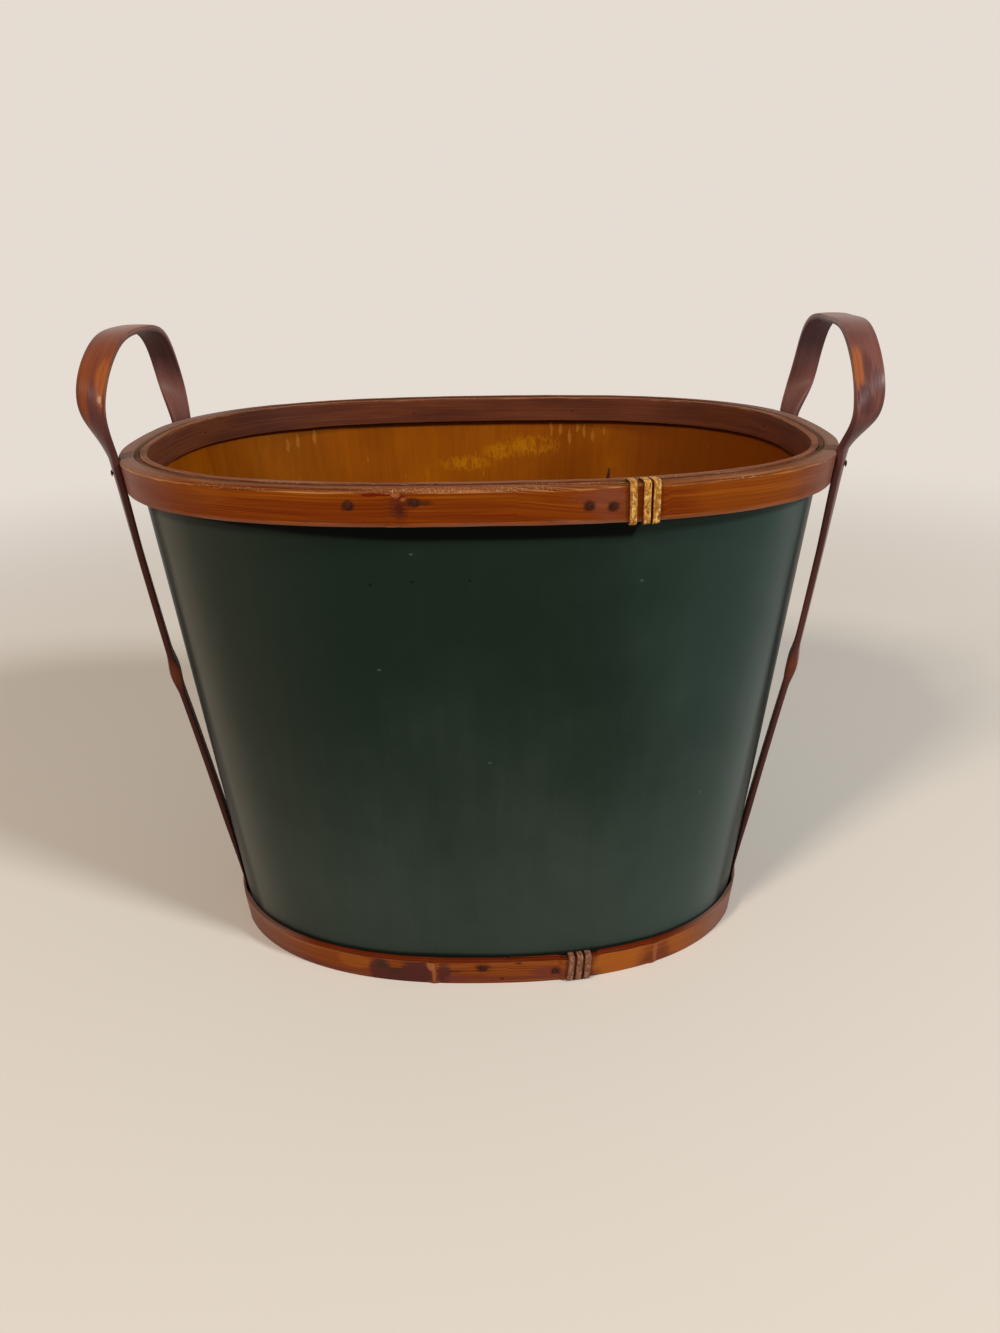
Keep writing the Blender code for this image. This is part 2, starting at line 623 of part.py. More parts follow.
def loop_points(handle, front_leg, back_leg):
    """The loop above the rim, a smooth curve through points set out from the tops of the two legs."""
    side, start, end = handle["side"], front_leg[-1], back_leg[-1]
    marks = []
    for leg, across in ((start, -1), (end, 1)):
        for spot in ("loop", "shoulder"):
            out = side * handle[spot + "_lean"]
            wider = across * (handle[spot + "_spread"] - handle["leg_spread"])
            marks.append(leg + np.array([out, wider, handle[spot + "_height"]]))
    crown = wall_face(0.0 if side > 0 else np.pi, BODY_HEIGHT, leg_offset(BODY_HEIGHT) + handle["top_lean"])
    crown = crown + np.array([0.0, handle["middle"], handle["top_height"]])
    route = np.array([front_leg[-3], start, *marks[:2], crown, *marks[:1:-1], end, back_leg[-3]])
    knots = np.concatenate([[0.0], np.cumsum(np.linalg.norm(np.diff(route, axis=0), axis=1) ** 0.5)])
    at = np.linspace(knots[1], knots[-2], LOOP_STATIONS)[1:-1]
    return smooth_curve(knots, route, at)


def smooth_curve(knots, points, at):
    """Natural cubic spline through the points, which it meets at the knots, read off at some places."""
    gaps = np.diff(knots)
    slopes = np.diff(points, axis=0) / gaps[:, None]
    system = np.eye(len(knots))
    pull = np.zeros_like(points)
    for i in range(1, len(knots) - 1):
        system[i, i - 1:i + 2] = gaps[i - 1], 2 * (gaps[i - 1] + gaps[i]), gaps[i]
        pull[i] = 6 * (slopes[i] - slopes[i - 1])
    bends = np.linalg.solve(system, pull)
    span = np.clip(np.searchsorted(knots, at, side="right") - 1, 0, len(gaps) - 1)
    gap = gaps[span]
    first = (knots[span + 1] - at) / gap
    last = 1.0 - first
    straight = first[:, None] * points[span] + last[:, None] * points[span + 1]
    sag = (first ** 3 - first)[:, None] * bends[span] + (last ** 3 - last)[:, None] * bends[span + 1]
    return straight + sag * (gap ** 2 / 6)[:, None]


def strip_sections(points, widths, thickness, curls, side):
    """Sections of the strip: its inner face flat but for the curl, its outer face crowned like a culm."""
    along = np.gradient(points, axis=0)
    along /= np.linalg.norm(along, axis=1, keepdims=True)
    widths = widths - along * np.sum(widths * along, axis=1, keepdims=True)
    widths /= np.linalg.norm(widths, axis=1, keepdims=True)
    outward = np.cross(along, widths) * -side
    half = STRIP_WIDTH / 2
    outline = [
        (-half + STRIP_EDGE, -0.5, 0.0),
        (half - STRIP_EDGE, -0.5, 0.0),
        (half, 0.0, 0.0),
        (half - STRIP_SHOULDER, 0.5, -STRIP_CROWN),
        (STRIP_CREST / 2, 0.5, 0.0),
        (-STRIP_CREST / 2, 0.5, 0.0),
        (-half + STRIP_SHOULDER, 0.5, -STRIP_CROWN),
        (-half, 0.0, 0.0),
    ]
    rows = []
    for across, share, shift in outline:
        proud = thickness * share + shift - curls * (across / half) ** 2
        rows.append(points + widths * across + outward * proud[:, None])
    return np.stack(rows, axis=1)


def make_handle(name, handle):
    """The strip lies flat against the rim up to its nails, then twists to lie across the top of the loop."""
    side = handle["side"]
    front, front_widths, front_thickness, front_curls = leg_points(handle, True)
    back, back_widths, back_thickness, back_curls = leg_points(handle, False)
    loop = loop_points(handle, front, back)
    front_half = np.arange(len(loop)) < len(loop) / 2
    loop_widths = np.where(front_half[:, None], front_widths[-1], back_widths[-1])
    points = np.concatenate([front, loop, back[::-1]])
    widths = np.concatenate([front_widths, loop_widths, back_widths[::-1]])
    thickness = np.concatenate([front_thickness, np.full(len(loop), STRIP_THICKNESS), back_thickness[::-1]])
    above_nails = points[:, 2] - BODY_HEIGHT + HANDLE_NAIL_DROP
    untwisted = 1.0 - smooth(above_nails / handle["twist_height"])
    loop_curls = np.where(front_half, front_curls[-1], back_curls[-1])
    curls = np.concatenate([front_curls, loop_curls, back_curls[::-1]]) * untwisted
    turned = np.arctan2(widths[:, 1], side * widths[:, 0]) * untwisted
    widths = np.column_stack([side * np.cos(turned), np.sin(turned), np.zeros(len(points))])
    return loft(name, strip_sections(points, widths, thickness, curls, side), "handle_bamboo")


def nail_frame(turn, height):
    """A point of the wall's outer face, the level direction out of it and the one along it."""
    angle = angle_at(turn)
    point = wall_face(angle, height, 0.0)
    outward = wall_face(angle, height, 1.0) - point
    outward /= np.linalg.norm(outward)
    return point, outward, np.cross(UP, outward)


def rod_ring(centre, first, second, radius):
    """Points round a centre, in the plane of two directions at right angles to each other."""
    angles = 2 * np.pi * np.arange(NAIL_SIDES) / NAIL_SIDES
    return centre + radius * (np.outer(np.cos(angles), first) + np.outer(np.sin(angles), second))


def make_nail(name, turn, height, head_offset, tip_offset, bent=False):
    """A round nail driven inwards, its underhead at head_offset from the wall and its tip at tip_offset."""
    point, outward, along = nail_frame(turn, height)
    profile = []
    for rise, share in NAIL_HEAD_SHAPE:
        profile.append((head_offset + NAIL_HEAD_HEIGHT * rise, NAIL_HEAD_RADIUS * share))
    profile.append((head_offset, NAIL_RADIUS))
    if not bent:
        profile += [(tip_offset + NAIL_POINT, NAIL_RADIUS), (tip_offset, NAIL_RADIUS * NAIL_POINT_WIDTH)]
    rings = [rod_ring(point + outward * offset, along, UP, radius) for offset, radius in profile]
    if bent:
        rings += bent_rings(point, outward, along, tip_offset)
    return loft(name, rings, "nail_iron")


def bent_rings(point, outward, along, bend_offset):
    """The far end of a nail that turns up just inside the rim and ends in a flattened point."""
    centre = point + outward * bend_offset + UP * BEND_RADIUS
    rings = []
    for angle in np.radians([0, 30, 60, 90]):
        across = outward * np.sin(angle) + UP * np.cos(angle)
        spot = centre - outward * BEND_RADIUS * np.sin(angle) - UP * BEND_RADIUS * np.cos(angle)
        rings.append(rod_ring(spot, along, across, NAIL_RADIUS))
    stem = UP * (BENT_POINT_RISE - 2 * BEND_RADIUS) + along * BENT_POINT_LEAN
    for share, width in BENT_POINT_SHAPE:
        spot = centre - outward * BEND_RADIUS + stem * share
        rings.append(rod_ring(spot, along, outward, NAIL_RADIUS * width))
    return rings


def drill(name, pieces, holes):
    """Cut a clearance hole for each (turn, height, inner offset, outer offset) through these pieces."""
    cutter_maker = bmesh.new()
    radius = (NAIL_RADIUS + NAIL_CLEARANCE) / np.cos(np.pi / NAIL_SIDES)
    for turn, height, inner, outer in holes:
        point, outward, along = nail_frame(turn, height)
        ends = [point + outward * inner, point + outward * outer]
        add_skin(cutter_maker, [rod_ring(end, along, UP, radius) for end in ends])
    cutter = finish(name, cutter_maker, "nail_iron")
    cutter.hide_render = True
    cutter.display_type = "WIRE"
    for piece in pieces:
        cut = piece.modifiers.new(name, "BOOLEAN")
        cut.operation = "DIFFERENCE"
        cut.solver = "EXACT"
        cut.object = cutter


def make_rim_nails():
    """Nails through the rim's hoops and wall, the last one in front bent up inside, and their holes."""
    rows = (("front", RIM_NAILS_FRONT), ("back", RIM_NAILS_BACK))
    bent_place = ("front", len(RIM_NAILS_FRONT))
    head = TOP_HOOP_OUTSIDE + GAP
    nails = []
    holes = []
    for row, places in rows:
        for number, (x, drop) in enumerate(places, 1):
            height = BODY_HEIGHT - drop
            turn = turn_of_x(x, height, row == "front")
            bent = (row, number) == bent_place
            nails.append(make_nail(f"rim_nail_{row}_{number}", turn, height, head, RIM_NAIL_TIP, bent))
            holes.append((turn, height, RIM_NAIL_TIP - HOLE_END, head + HOLE_END))
    return nails, holes


def make_handle_nails():
    """One nail through each leg of the handles and the rim behind it, and their holes."""
    height = BODY_HEIGHT - HANDLE_NAIL_DROP
    head = float(leg_offset(height)) + STRIP_THICKNESS / 2 + GAP
    nails = []
    holes = []
    for side, handle in (("left", LEFT_HANDLE), ("right", RIGHT_HANDLE)):
        for where in ("front", "back"):
            turn = leg_turn(handle, where == "front", height)
            nails.append(make_nail(f"handle_nail_{side}_{where}", turn, height, head, RIM_NAIL_TIP))
            holes.append((turn, height, RIM_NAIL_TIP - HOLE_END, head + HOLE_END))
    return nails, holes


def make_foot_nails():
    """Nails through the foot hoop and the wall into the base board, and their holes."""
    tip = WALL_INSIDE - GAP - FOOT_NAIL_BITE
    head = FOOT_HOOP_OUTSIDE + GAP
    places = []
    for row, spots in (("front", FOOT_NAILS_FRONT), ("back", FOOT_NAILS_BACK)):
        for number, (x, height) in enumerate(spots, 1):
            places.append((f"{row}_{number}", turn_of_x(x, height, row == "front"), height))
    for end, side in (("left", -1), ("right", 1)):
        places.append((end, turn_of_y(0.0, FOOT_END_NAIL_HEIGHT, side), FOOT_END_NAIL_HEIGHT))
    nails = [make_nail(f"foot_nail_{where}", turn, height, head, tip) for where, turn, height in places]
    holes = [(turn, height, tip - NAIL_CLEARANCE, head + HOLE_END) for where, turn, height in places]
    return nails, holes


def centre_on_origin(pieces):
    """Shift the model so that the middle of its footprint lies on the origin."""
    corners = np.concatenate([np.array(piece.bound_box) for piece in pieces])
    middle = (corners.min(axis=0) + corners.max(axis=0)) / 2
    frame = bpy.data.objects.new("basket_frame", None)
    bpy.context.collection.objects.link(frame)
    for piece in bpy.data.objects:
        if piece is not frame:
            piece.parent = frame
    frame.location = (-middle[0], -middle[1], 0.0)
    print(f"footprint middle before centring: {middle[0] * 1000:.2f}, {middle[1] * 1000:.2f} mm")


def build():
    clear_scene()
    make_materials()
    wall = make_wall()
    base = make_base()
    top_outer = make_top_outer_hoop()
    top_inner = make_top_inner_hoop()
    bottom = make_bottom_hoop()
    handles = [make_handle("handle_left", LEFT_HANDLE), make_handle("handle_right", RIGHT_HANDLE)]
    lashings = [
        make_lashing("top_lashing", TOP_WRAPS_X, TOP_WRAP_LEAN, BODY_HEIGHT, TOP_HOOP_OUTSIDE,
                     BODY_HEIGHT - TOP_HOOP_HEIGHT, BODY_HEIGHT, "rim_cane"),
        make_lashing("bottom_lashing", FOOT_WRAPS_X, FOOT_WRAP_LEAN, FOOT_HOOP_HEIGHT / 2,
                     FOOT_HOOP_OUTSIDE + STRAND_ROOM - GAP, STRAND_ROOM, FOOT_HOOP_HEIGHT, "foot_cane"),
    ]
    rim_nails, rim_holes = make_rim_nails()
    handle_nails, handle_holes = make_handle_nails()
    foot_nails, foot_holes = make_foot_nails()
    drill("rim_holes", [top_outer, wall, top_inner] + handles, rim_holes + handle_holes)
    drill("foot_holes", [bottom, wall, base], foot_holes)
    centre_on_origin([wall, base, top_outer, top_inner, bottom] + handles + lashings
                     + rim_nails + handle_nails + foot_nails)


build()
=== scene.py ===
import bpy
import numpy as np
from mathutils import Matrix, Vector


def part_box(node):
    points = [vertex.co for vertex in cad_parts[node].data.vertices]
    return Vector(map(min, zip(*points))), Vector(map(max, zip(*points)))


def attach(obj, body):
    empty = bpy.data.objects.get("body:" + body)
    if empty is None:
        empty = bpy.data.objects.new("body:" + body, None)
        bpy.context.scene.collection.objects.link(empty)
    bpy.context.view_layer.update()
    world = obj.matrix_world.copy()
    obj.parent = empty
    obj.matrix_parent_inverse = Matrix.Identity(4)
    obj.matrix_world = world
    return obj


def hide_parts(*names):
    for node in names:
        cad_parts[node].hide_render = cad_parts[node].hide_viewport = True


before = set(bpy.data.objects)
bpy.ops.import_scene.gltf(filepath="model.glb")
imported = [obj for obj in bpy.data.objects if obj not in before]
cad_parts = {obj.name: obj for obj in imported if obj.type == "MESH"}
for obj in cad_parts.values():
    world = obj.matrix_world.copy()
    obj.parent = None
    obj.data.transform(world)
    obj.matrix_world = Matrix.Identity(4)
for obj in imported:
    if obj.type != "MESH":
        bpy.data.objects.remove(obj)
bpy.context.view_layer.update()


# The camera. The basket was photographed from 65 cm away and 25 cm above its middle, with a phone's wide lens.
# The angles are those that lay the model's rim, wall and foot over the photographed ones.
BODY_HEIGHT = 0.307
MIDDLE = np.array(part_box("wall_panel")).mean(axis=0)[:2]
CAMERA_DISTANCE = 0.6469
CAMERA_HEIGHT_ANGLE = 0.404
CAMERA_SIDE_ANGLE = 0.0135
CAMERA_PAN = 0.0147
CAMERA_TILT = 0.0042
CAMERA_ROLL = -0.021
CAMERA_LENS, CAMERA_SENSOR = 27.0, 36.0
CAMERA_REACH = 50.0


def unit(vectors):
    return vectors / np.linalg.norm(vectors, axis=-1, keepdims=True)


def turned(first, second, angle):
    """Two directions at right angles, turned in their own plane by an angle."""
    return (first * np.cos(angle) + second * np.sin(angle), second * np.cos(angle) - first * np.sin(angle))


def add_object(name, data):
    made = bpy.data.objects.new(name, data)
    bpy.context.scene.collection.objects.link(made)
    return made


def place_camera():
    level, side = np.cos(CAMERA_HEIGHT_ANGLE), CAMERA_SIDE_ANGLE
    back = np.array([np.sin(side) * level, -np.cos(side) * level, np.sin(CAMERA_HEIGHT_ANGLE)])
    right = unit(np.cross(-back, [0.0, 0.0, 1.0]))
    up = np.cross(right, -back)
    ahead, right = turned(-back, right, CAMERA_PAN)
    ahead, up = turned(ahead, up, CAMERA_TILT)
    right, up = turned(right, up, CAMERA_ROLL)
    place = np.array([*MIDDLE, BODY_HEIGHT / 2]) + back * CAMERA_DISTANCE
    data = bpy.data.cameras.new("photo_camera")
    data.lens = CAMERA_LENS
    data.sensor_width = CAMERA_SENSOR
    data.clip_end = CAMERA_REACH
    camera = add_object("photo_camera", data)
    camera.matrix_world = Matrix([*zip(right, up, -ahead, place), (0.0, 0.0, 0.0, 1.0)])
    bpy.context.scene.camera = camera


place_camera()


# The floor: a plain pale disc that fades into the background well away from the basket, so that no horizon
# shows from any side. It keeps the basket's shadow near the foot.
FLOOR_COLOUR = (0.7, 0.62, 0.545)
BACKDROP_COLOUR = (0.785, 0.715, 0.65)
FLOOR_RADIUS = 12.0
FLOOR_SIDES = 96
FLOOR_FADE = (0.5, 1.6)


class Wire:
    """A number, colour or vector on its way through a material.

    Sums such as wire * 2 or 1 - wire add Math nodes, and node() adds a node of any other type.
    """

    def __init__(self, tree, socket=None):
        self.tree = tree
        self.socket = socket

    def node(self, kind, settings=None, sockets=None, output=0):
        """Add a node of this type: its settings come first, then the values or links of its sockets."""
        made = self.tree.nodes.new(kind)
        for name, value in (settings or {}).items():
            setattr(made, name, value)
        for name, value in (sockets or {}).items():
            feed(self.tree, made.inputs[name], value)
        return Wire(self.tree, made.outputs[output])

    def maths(self, operation, *values):
        return self.node("ShaderNodeMath", {"operation": operation}, dict(enumerate(values)))

    def vector(self, operation, *values, output=0):
        return self.node("ShaderNodeVectorMath", {"operation": operation}, dict(enumerate(values)), output)

    def __add__(self, other):
        return self.maths("ADD", self, other)

    def __radd__(self, other):
        return self.maths("ADD", other, self)

    def __sub__(self, other):
        return self.maths("SUBTRACT", self, other)

    def __rsub__(self, other):
        return self.maths("SUBTRACT", other, self)

    def __mul__(self, other):
        return self.maths("MULTIPLY", self, other)

    def __rmul__(self, other):
        return self.maths("MULTIPLY", other, self)

    def __truediv__(self, other):
        return self.maths("DIVIDE", self, other)

    def most(self, other):
        return self.maths("MAXIMUM", self, other)

    def ease(self, low, high):
        """0 below low and 1 above high, with a smooth step between. low may be the larger of the two."""
        settings = {"interpolation_type": "SMOOTHSTEP"}
        return self.node("ShaderNodeMapRange", settings, {"Value": self, "From Min": low, "From Max": high})

    def near(self, middle, reach, soft):
        """1 within reach of the middle, falling smoothly to 0 over soft beyond it."""
        return self.maths("ABSOLUTE", self - middle).ease(reach + soft, reach)

    def mix(self, first, second):
        """The first colour where this is 0 and the second where it is 1."""
        return self.node("ShaderNodeMix", {"data_type": "RGBA"}, {0: self, 6: first, 7: second}, output=2)

    def axis(self, number):
        return self.node("ShaderNodeSeparateXYZ", None, {0: self}, output=number)

    def length(self):
        return self.vector("LENGTH", self, output="Value")

    def stretched(self, x, y, z):
        return self.vector("MULTIPLY", self, (x, y, z))

    def noise(self, scale, detail=2.0, roughness=0.5):
        """Smooth noise from 0 to 1, around 0.5, over this vector."""
        sockets = {"Vector": self, "Scale": scale, "Detail": detail, "Roughness": roughness}
        return self.node("ShaderNodeTexNoise", None, sockets)

    def strands(self, along, across, detail, roughness=0.6):
        """Noise on a strip's map, with this many waves to the metre along it and across it."""
        return self.stretched(along, across, 1.0).noise(1.0, detail, roughness)

    def blot(self, centre, size, wobble, ragged):
        """1 in an ellipsoid about the centre with these half sizes, its edge made ragged by another wire."""
        apart = self.vector("SUBTRACT", self, tuple(centre)).stretched(*[1.0 / half for half in size])
        return (apart.length() + (wobble - 0.5) * ragged).ease(1.2, 0.8)


def feed(tree, socket, value):
    """Link a wire to a socket, or set the socket to a number, a vector or a colour."""
    if isinstance(value, Wire):
        tree.links.new(value.socket, socket)
    else:
        socket.default_value = (*value, 1.0) if socket.type == "RGBA" else value


def new_material(name):
    """A material with one Principled shader, as a wire to start from, and that shader."""
    material = bpy.data.materials.new(name)
    material.use_nodes = True
    return material, Wire(material.node_tree), material.node_tree.nodes["Principled BSDF"]


def coat(shader, colour, roughness, specular, height=None, strength=0.0):
    """Give a shader its colour, roughness and mirroring, and shade a height, in metres, as relief."""
    values = {"Base Color": colour, "Roughness": roughness, "Specular IOR Level": specular}
    if height is not None:
        sockets = {"Strength": strength, "Distance": 1.0, "Height": height}
        values["Normal"] = height.node("ShaderNodeBump", None, sockets)
    for name, value in values.items():
        feed(shader.id_data, shader.inputs[name], value)


def object_place(start):
    return start.node("ShaderNodeTexCoord", output="Object")


def backdrop_rays(start):
    """1 for the rays that see the plain backdrop: from the camera, mirrored or passing through."""
    camera, glossy, through = [start.node("ShaderNodeLightPath", output=f"Is {kind} Ray")
                               for kind in ("Camera", "Glossy", "Transmission")]
    return camera.most(glossy).most(through)


def make_floor():
    """A flat disc: one face whose points are FLOOR_RADIUS times the cosine and sine of even angles."""
    angles = np.linspace(0.0, 2 * np.pi, FLOOR_SIDES, endpoint=False)
    points = FLOOR_RADIUS * np.column_stack([np.cos(angles), np.sin(angles), 0.0 * angles])
    mesh = bpy.data.meshes.new("floor")
    mesh.from_pydata(points, [], [list(range(FLOOR_SIDES))])
    material, start, shader = new_material("pale_floor")
    coat(shader, FLOOR_COLOUR, 0.9, 0.1)
    faded = object_place(start).length().ease(*FLOOR_FADE) * backdrop_rays(start)
    glow = start.node("ShaderNodeEmission", None, {"Color": BACKDROP_COLOUR, "Strength": 1.0})
    body = Wire(start.tree, shader.outputs[0])
    seen = start.node("ShaderNodeMixShader", None, {0: faded, 1: body, 2: glow})
    feed(start.tree, start.tree.nodes["Material Output"].inputs["Surface"], seen)
    mesh.materials.append(material)
    floor = add_object("floor", mesh)


make_floor()


# The light: an even pale surround, and a lamp high on each side in front, the left one warm and the right one
# cool, as a room lamp and a window would give.
SURROUND_STRENGTH = 0.31
SURROUND_COLOUR = (1.0, 0.97, 0.93)
LAMP_SIZE = 0.6
LAMP_AIM = Vector((0.0, 0.0, 0.15))


def make_lamp(name, place, power, colour):
    data = bpy.data.lights.new(name, "AREA")
    data.shape = "DISK"
    data.size = LAMP_SIZE
    data.energy = power
    data.color = colour
    lamp = add_object(name, data)
    lamp.location = place
    lamp.rotation_euler = (LAMP_AIM - Vector(place)).to_track_quat("-Z", "Y").to_euler()


def make_surround():
    world = bpy.data.worlds.new("surround")
    world.use_nodes = True
    bpy.context.scene.world = world
    start = Wire(world.node_tree)
    light, backdrop = [start.node("ShaderNodeBackground", None, {"Color": colour, "Strength": strength})
                       for colour, strength in ((SURROUND_COLOUR, SURROUND_STRENGTH), (BACKDROP_COLOUR, 1.0))]
    seen = start.node("ShaderNodeMixShader", None, {0: backdrop_rays(start), 1: light, 2: backdrop})
    feed(start.tree, start.tree.nodes["World Output"].inputs["Surface"], seen)


make_surround()
make_lamp("left_lamp", (-1.6, -2.1, 2.35), 66.0, (1.0, 0.91, 0.79))
make_lamp("right_lamp", (2.4, -1.65, 2.2), 92.0, (0.87, 0.96, 1.0))
bpy.context.scene.view_settings.view_transform = "Standard"


# The wall: one thin sheet bent into an oval that tapers to the foot, with its two scarfed ends glued over each
# other at the right end. The outside is painted a very dark satin green, and the inside is amber varnish.
RIM_LENGTH, RIM_WIDTH, RIM_SQUARENESS = 0.4, 0.3, 2.6
FOOT_LENGTH, FOOT_WIDTH, FOOT_SQUARENESS = 0.334, 0.234, 2.34
GAP = 0.0003
TOP_HOOP_THICKNESS, TOP_HOOP_HEIGHT = 0.008, 0.0184
FOOT_HOOP_THICKNESS, FOOT_HOOP_HEIGHT = 0.0035, 0.0184
TOP_HOOP_OUTSIDE = GAP + TOP_HOOP_THICKNESS
FOOT_HOOP_OUTSIDE = GAP + FOOT_HOOP_THICKNESS
RIM_HALVES = (RIM_LENGTH / 2 - TOP_HOOP_OUTSIDE, RIM_WIDTH / 2 - TOP_HOOP_OUTSIDE)
FOOT_HALVES = (FOOT_LENGTH / 2 - FOOT_HOOP_OUTSIDE, FOOT_WIDTH / 2 - FOOT_HOOP_OUTSIDE)
RIM_LOW = BODY_HEIGHT - TOP_HOOP_HEIGHT
# How much half the wall's width grows for each metre of height
WIDENING = 0.093
WALL_THICKNESS = 0.0024
WALL_RIM_DROP, WALL_FOOT_LIFT = 0.0008, 0.001
WALL_LAP_Y, WALL_LAP_LENGTH = 0.012, 0.025
LAP_TIP, LAP_STEP_RUN = 0.0005, 0.0008
WALL_STATIONS, WALL_ROWS = 720, 16
ROUND_POINTS = 8001
WAVES = 7
# Stations closer to a mark than about this part of an even step are left out
LEAST_STEP = 0.3
SHARP_ANGLE = np.radians(40.0)
# The turn in the middle of each side of the oval
RIGHT, BACK, LEFT, FRONT = 0.0, 0.25, 0.5, 0.75

GREEN_PAINT = (0.0072, 0.016, 0.0102)
GREEN_HAZE_AND_REFLECTION = (0.033, 0.045, 0.035)
GREEN_RIGHT_SHEEN = (0.037, 0.064, 0.056)
GREEN_LEFT_SHEEN = (0.047, 0.044, 0.034)
TURN_SHEEN_LEFT = (0.105, 0.095, 0.079)
TURN_SHEEN_RIGHT = (0.08, 0.093, 0.095)
TURN_DARK_REFLECTION = (0.0035, 0.006, 0.0045)
# Near black: painted shade under the rim hoop and just above the foot hoop
PAINTED_SHADE = (0.0004, 0.0006, 0.0005)
PALE_NICK = (0.06, 0.09, 0.07)
DARK_DOT = (0.001, 0.002, 0.001)
PALE_NICKS = ((-0.0322, 0.273), (-0.0518, 0.2107), (0.0789, 0.2561), (0.003, 0.1552), (0.1219, 0.1193))
DARK_DOTS = ((-0.0529, 0.2574), (-0.0046, 0.2595), (-0.0325, 0.2588))
AMBER = (0.265, 0.065, 0.0004)
AMBER_DEEP = (0.15, 0.029, 0.0004)
AMBER_PALE = (0.43, 0.15, 0.001)
AMBER_SCUFF = (0.5, 0.23, 0.025)
# Places on the inside of the back: right of the middle and height, then half width and half height
WORN_PATCHES = ((0.034, 0.273, 0.02, 0.007), (-0.013, 0.261, 0.018, 0.005), (0.012, 0.269, 0.012, 0.006))
SCUFFS = ((-0.1197, 0.284), (-0.1308, 0.2818), (-0.1373, 0.2795), (0.0498, 0.2835), (0.0562, 0.285),
          (0.0625, 0.281), (0.0683, 0.287), (0.0735, 0.283), (0.079, 0.28), (0.0874, 0.284))
SHEET_EDGE = (0.06, 0.022, 0.008)
SHEET_EDGE_PALE = (0.12, 0.05, 0.022)


def eased(x):
    """0 to 1 as x goes from 0 to 1, flat at both ends."""
    x = np.clip(x, 0.0, 1.0)
    return x * x * (3.0 - 2.0 * x)


def bump(distance, flat, run):
    """1 within flat of the middle, easing to 0 over the run beyond it."""
    return 1.0 - eased((np.abs(distance) - flat) / run)


def signed_power(x, power):
    return np.sign(x) * np.abs(x) ** power


def metres_along(points):
    """Metres along a row of points from its first, or along each of several rows."""
    steps = np.linalg.norm(np.diff(points, axis=-2), axis=-1)
    return np.concatenate([np.zeros_like(steps[..., :1]), np.cumsum(steps, axis=-1)], axis=-1)


def oval(angle, halves, squareness):
    """Superellipse: x and y are powers 2 / squareness of the cosine and sine. Returns points and normals."""
    circle, power = np.stack([np.cos(angle), np.sin(angle)], axis=-1), 2.0 / squareness
    return signed_power(circle, power) * halves, unit(signed_power(circle, 2.0 - power) / halves)


def wall_face(angle, height, offset):
    """Points offset out from the wall's outer face, at angles and heights.

    Straight lines join the foot's oval to the rim's, as in a sheet that is bent one way only.
    """
    angle, height, offset = np.broadcast_arrays(np.asarray(angle, float), height, offset)
    foot, foot_normal = oval(angle, FOOT_HALVES, FOOT_SQUARENESS)
    rim, rim_normal = oval(angle, RIM_HALVES, RIM_SQUARENESS)
    share = (height / BODY_HEIGHT)[..., None]
    normal = unit(foot_normal * (1 - share) + rim_normal * share)
    flat = foot * (1 - share) + rim * share + normal * offset[..., None]
    return np.concatenate([flat + MIDDLE, height[..., None]], axis=-1)


ANGLES = np.linspace(0.0, 2 * np.pi, ROUND_POINTS)
TURNS = metres_along(wall_face(ANGLES, BODY_HEIGHT, 0.0))
TURNS /= TURNS[-1]


def face_at(turn, height, offset):
    """The wall's face at a turn: 0 at the right end, through the back, 1 after a whole round."""
    rounds = np.floor(turn)
    return wall_face(np.interp(turn - rounds, TURNS, ANGLES) + rounds * 2 * np.pi, height, offset)


def round_length(height):
    """Length of the wall's outer face once round at a height."""
    return metres_along(wall_face(ANGLES, height, 0.0))[-1]


def turn_at(side, place, height):
    """The turn on a side of the wall whose place is this far from the middle.

    The place is along x in front and at the back, and along y at both ends.
    """
    axis = 0 if side in (BACK, FRONT) else 1
    places = wall_face(ANGLES, height, 0.0)[:, axis] - MIDDLE[axis]
    turns = (TURNS - side + 0.5) % 1.0 - 0.5
    part = np.abs(turns) <= 0.25
    order = np.argsort(places[part])
    return side + np.interp(place, places[part][order], turns[part][order])


def on_wall(x, height, offset, side=FRONT):
    return face_at(turn_at(side, x, height), height, offset)


def closed_solid(name, points, maps, material, others=()):
    """A closed solid from rows of points, each row once round a section, with a face over each end.

    maps gives the values of UV maps at rows and columns of points, the first column once more at the end.
    others gives further materials, each with the columns of faces that take it.
    """
    rows, columns = points.shape[:2]
    corner = points[:-1, :1]
    across = np.cross(points[:-1] - corner, np.roll(points, -1, axis=1)[:-1] - corner)
    way = 1 if np.sum(across * (points[1:, :1] - corner)) > 0 else -1
    steps = np.array([(0, 0), (0, 1), (1, 1), (1, 0)])[::way]
    i, j = np.meshgrid(np.arange(rows - 1), np.arange(columns), indexing="ij")
    row, column = i[..., None] + steps[:, 0], j[..., None] + steps[:, 1]
    end = np.arange(columns)[::way]
    faces = (row * columns + column % columns).reshape(-1, 4).tolist()
    faces += [end[::-1].tolist(), ((rows - 1) * columns + end).tolist()]
    row = np.concatenate([row.ravel(), 0 * end, 0 * end + rows - 1])
    column = np.concatenate([column.ravel(), end[::-1], end])
    mesh = bpy.data.meshes.new(name)
    mesh.from_pydata(points.reshape(-1, 3), [], faces)
    for map_name, values in maps.items():
        values = values[row, column].astype(np.float32)
        mesh.uv_layers.new(name=map_name).uv.foreach_set("vector", values.ravel())
    mesh.materials.append(material)
    slots = np.zeros(columns, np.int32)
    for number, (other, taken) in enumerate(others):
        mesh.materials.append(other)
        slots[taken] = number + 1
    mesh.polygons.foreach_set("material_index", np.append(np.tile(slots, rows - 1), [slots[0], slots[0]]))
    mesh.shade_smooth()
    mesh.set_sharp_from_angle(angle=SHARP_ANGLE)
    piece = add_object(name, mesh)
    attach(piece, "root")
    return piece


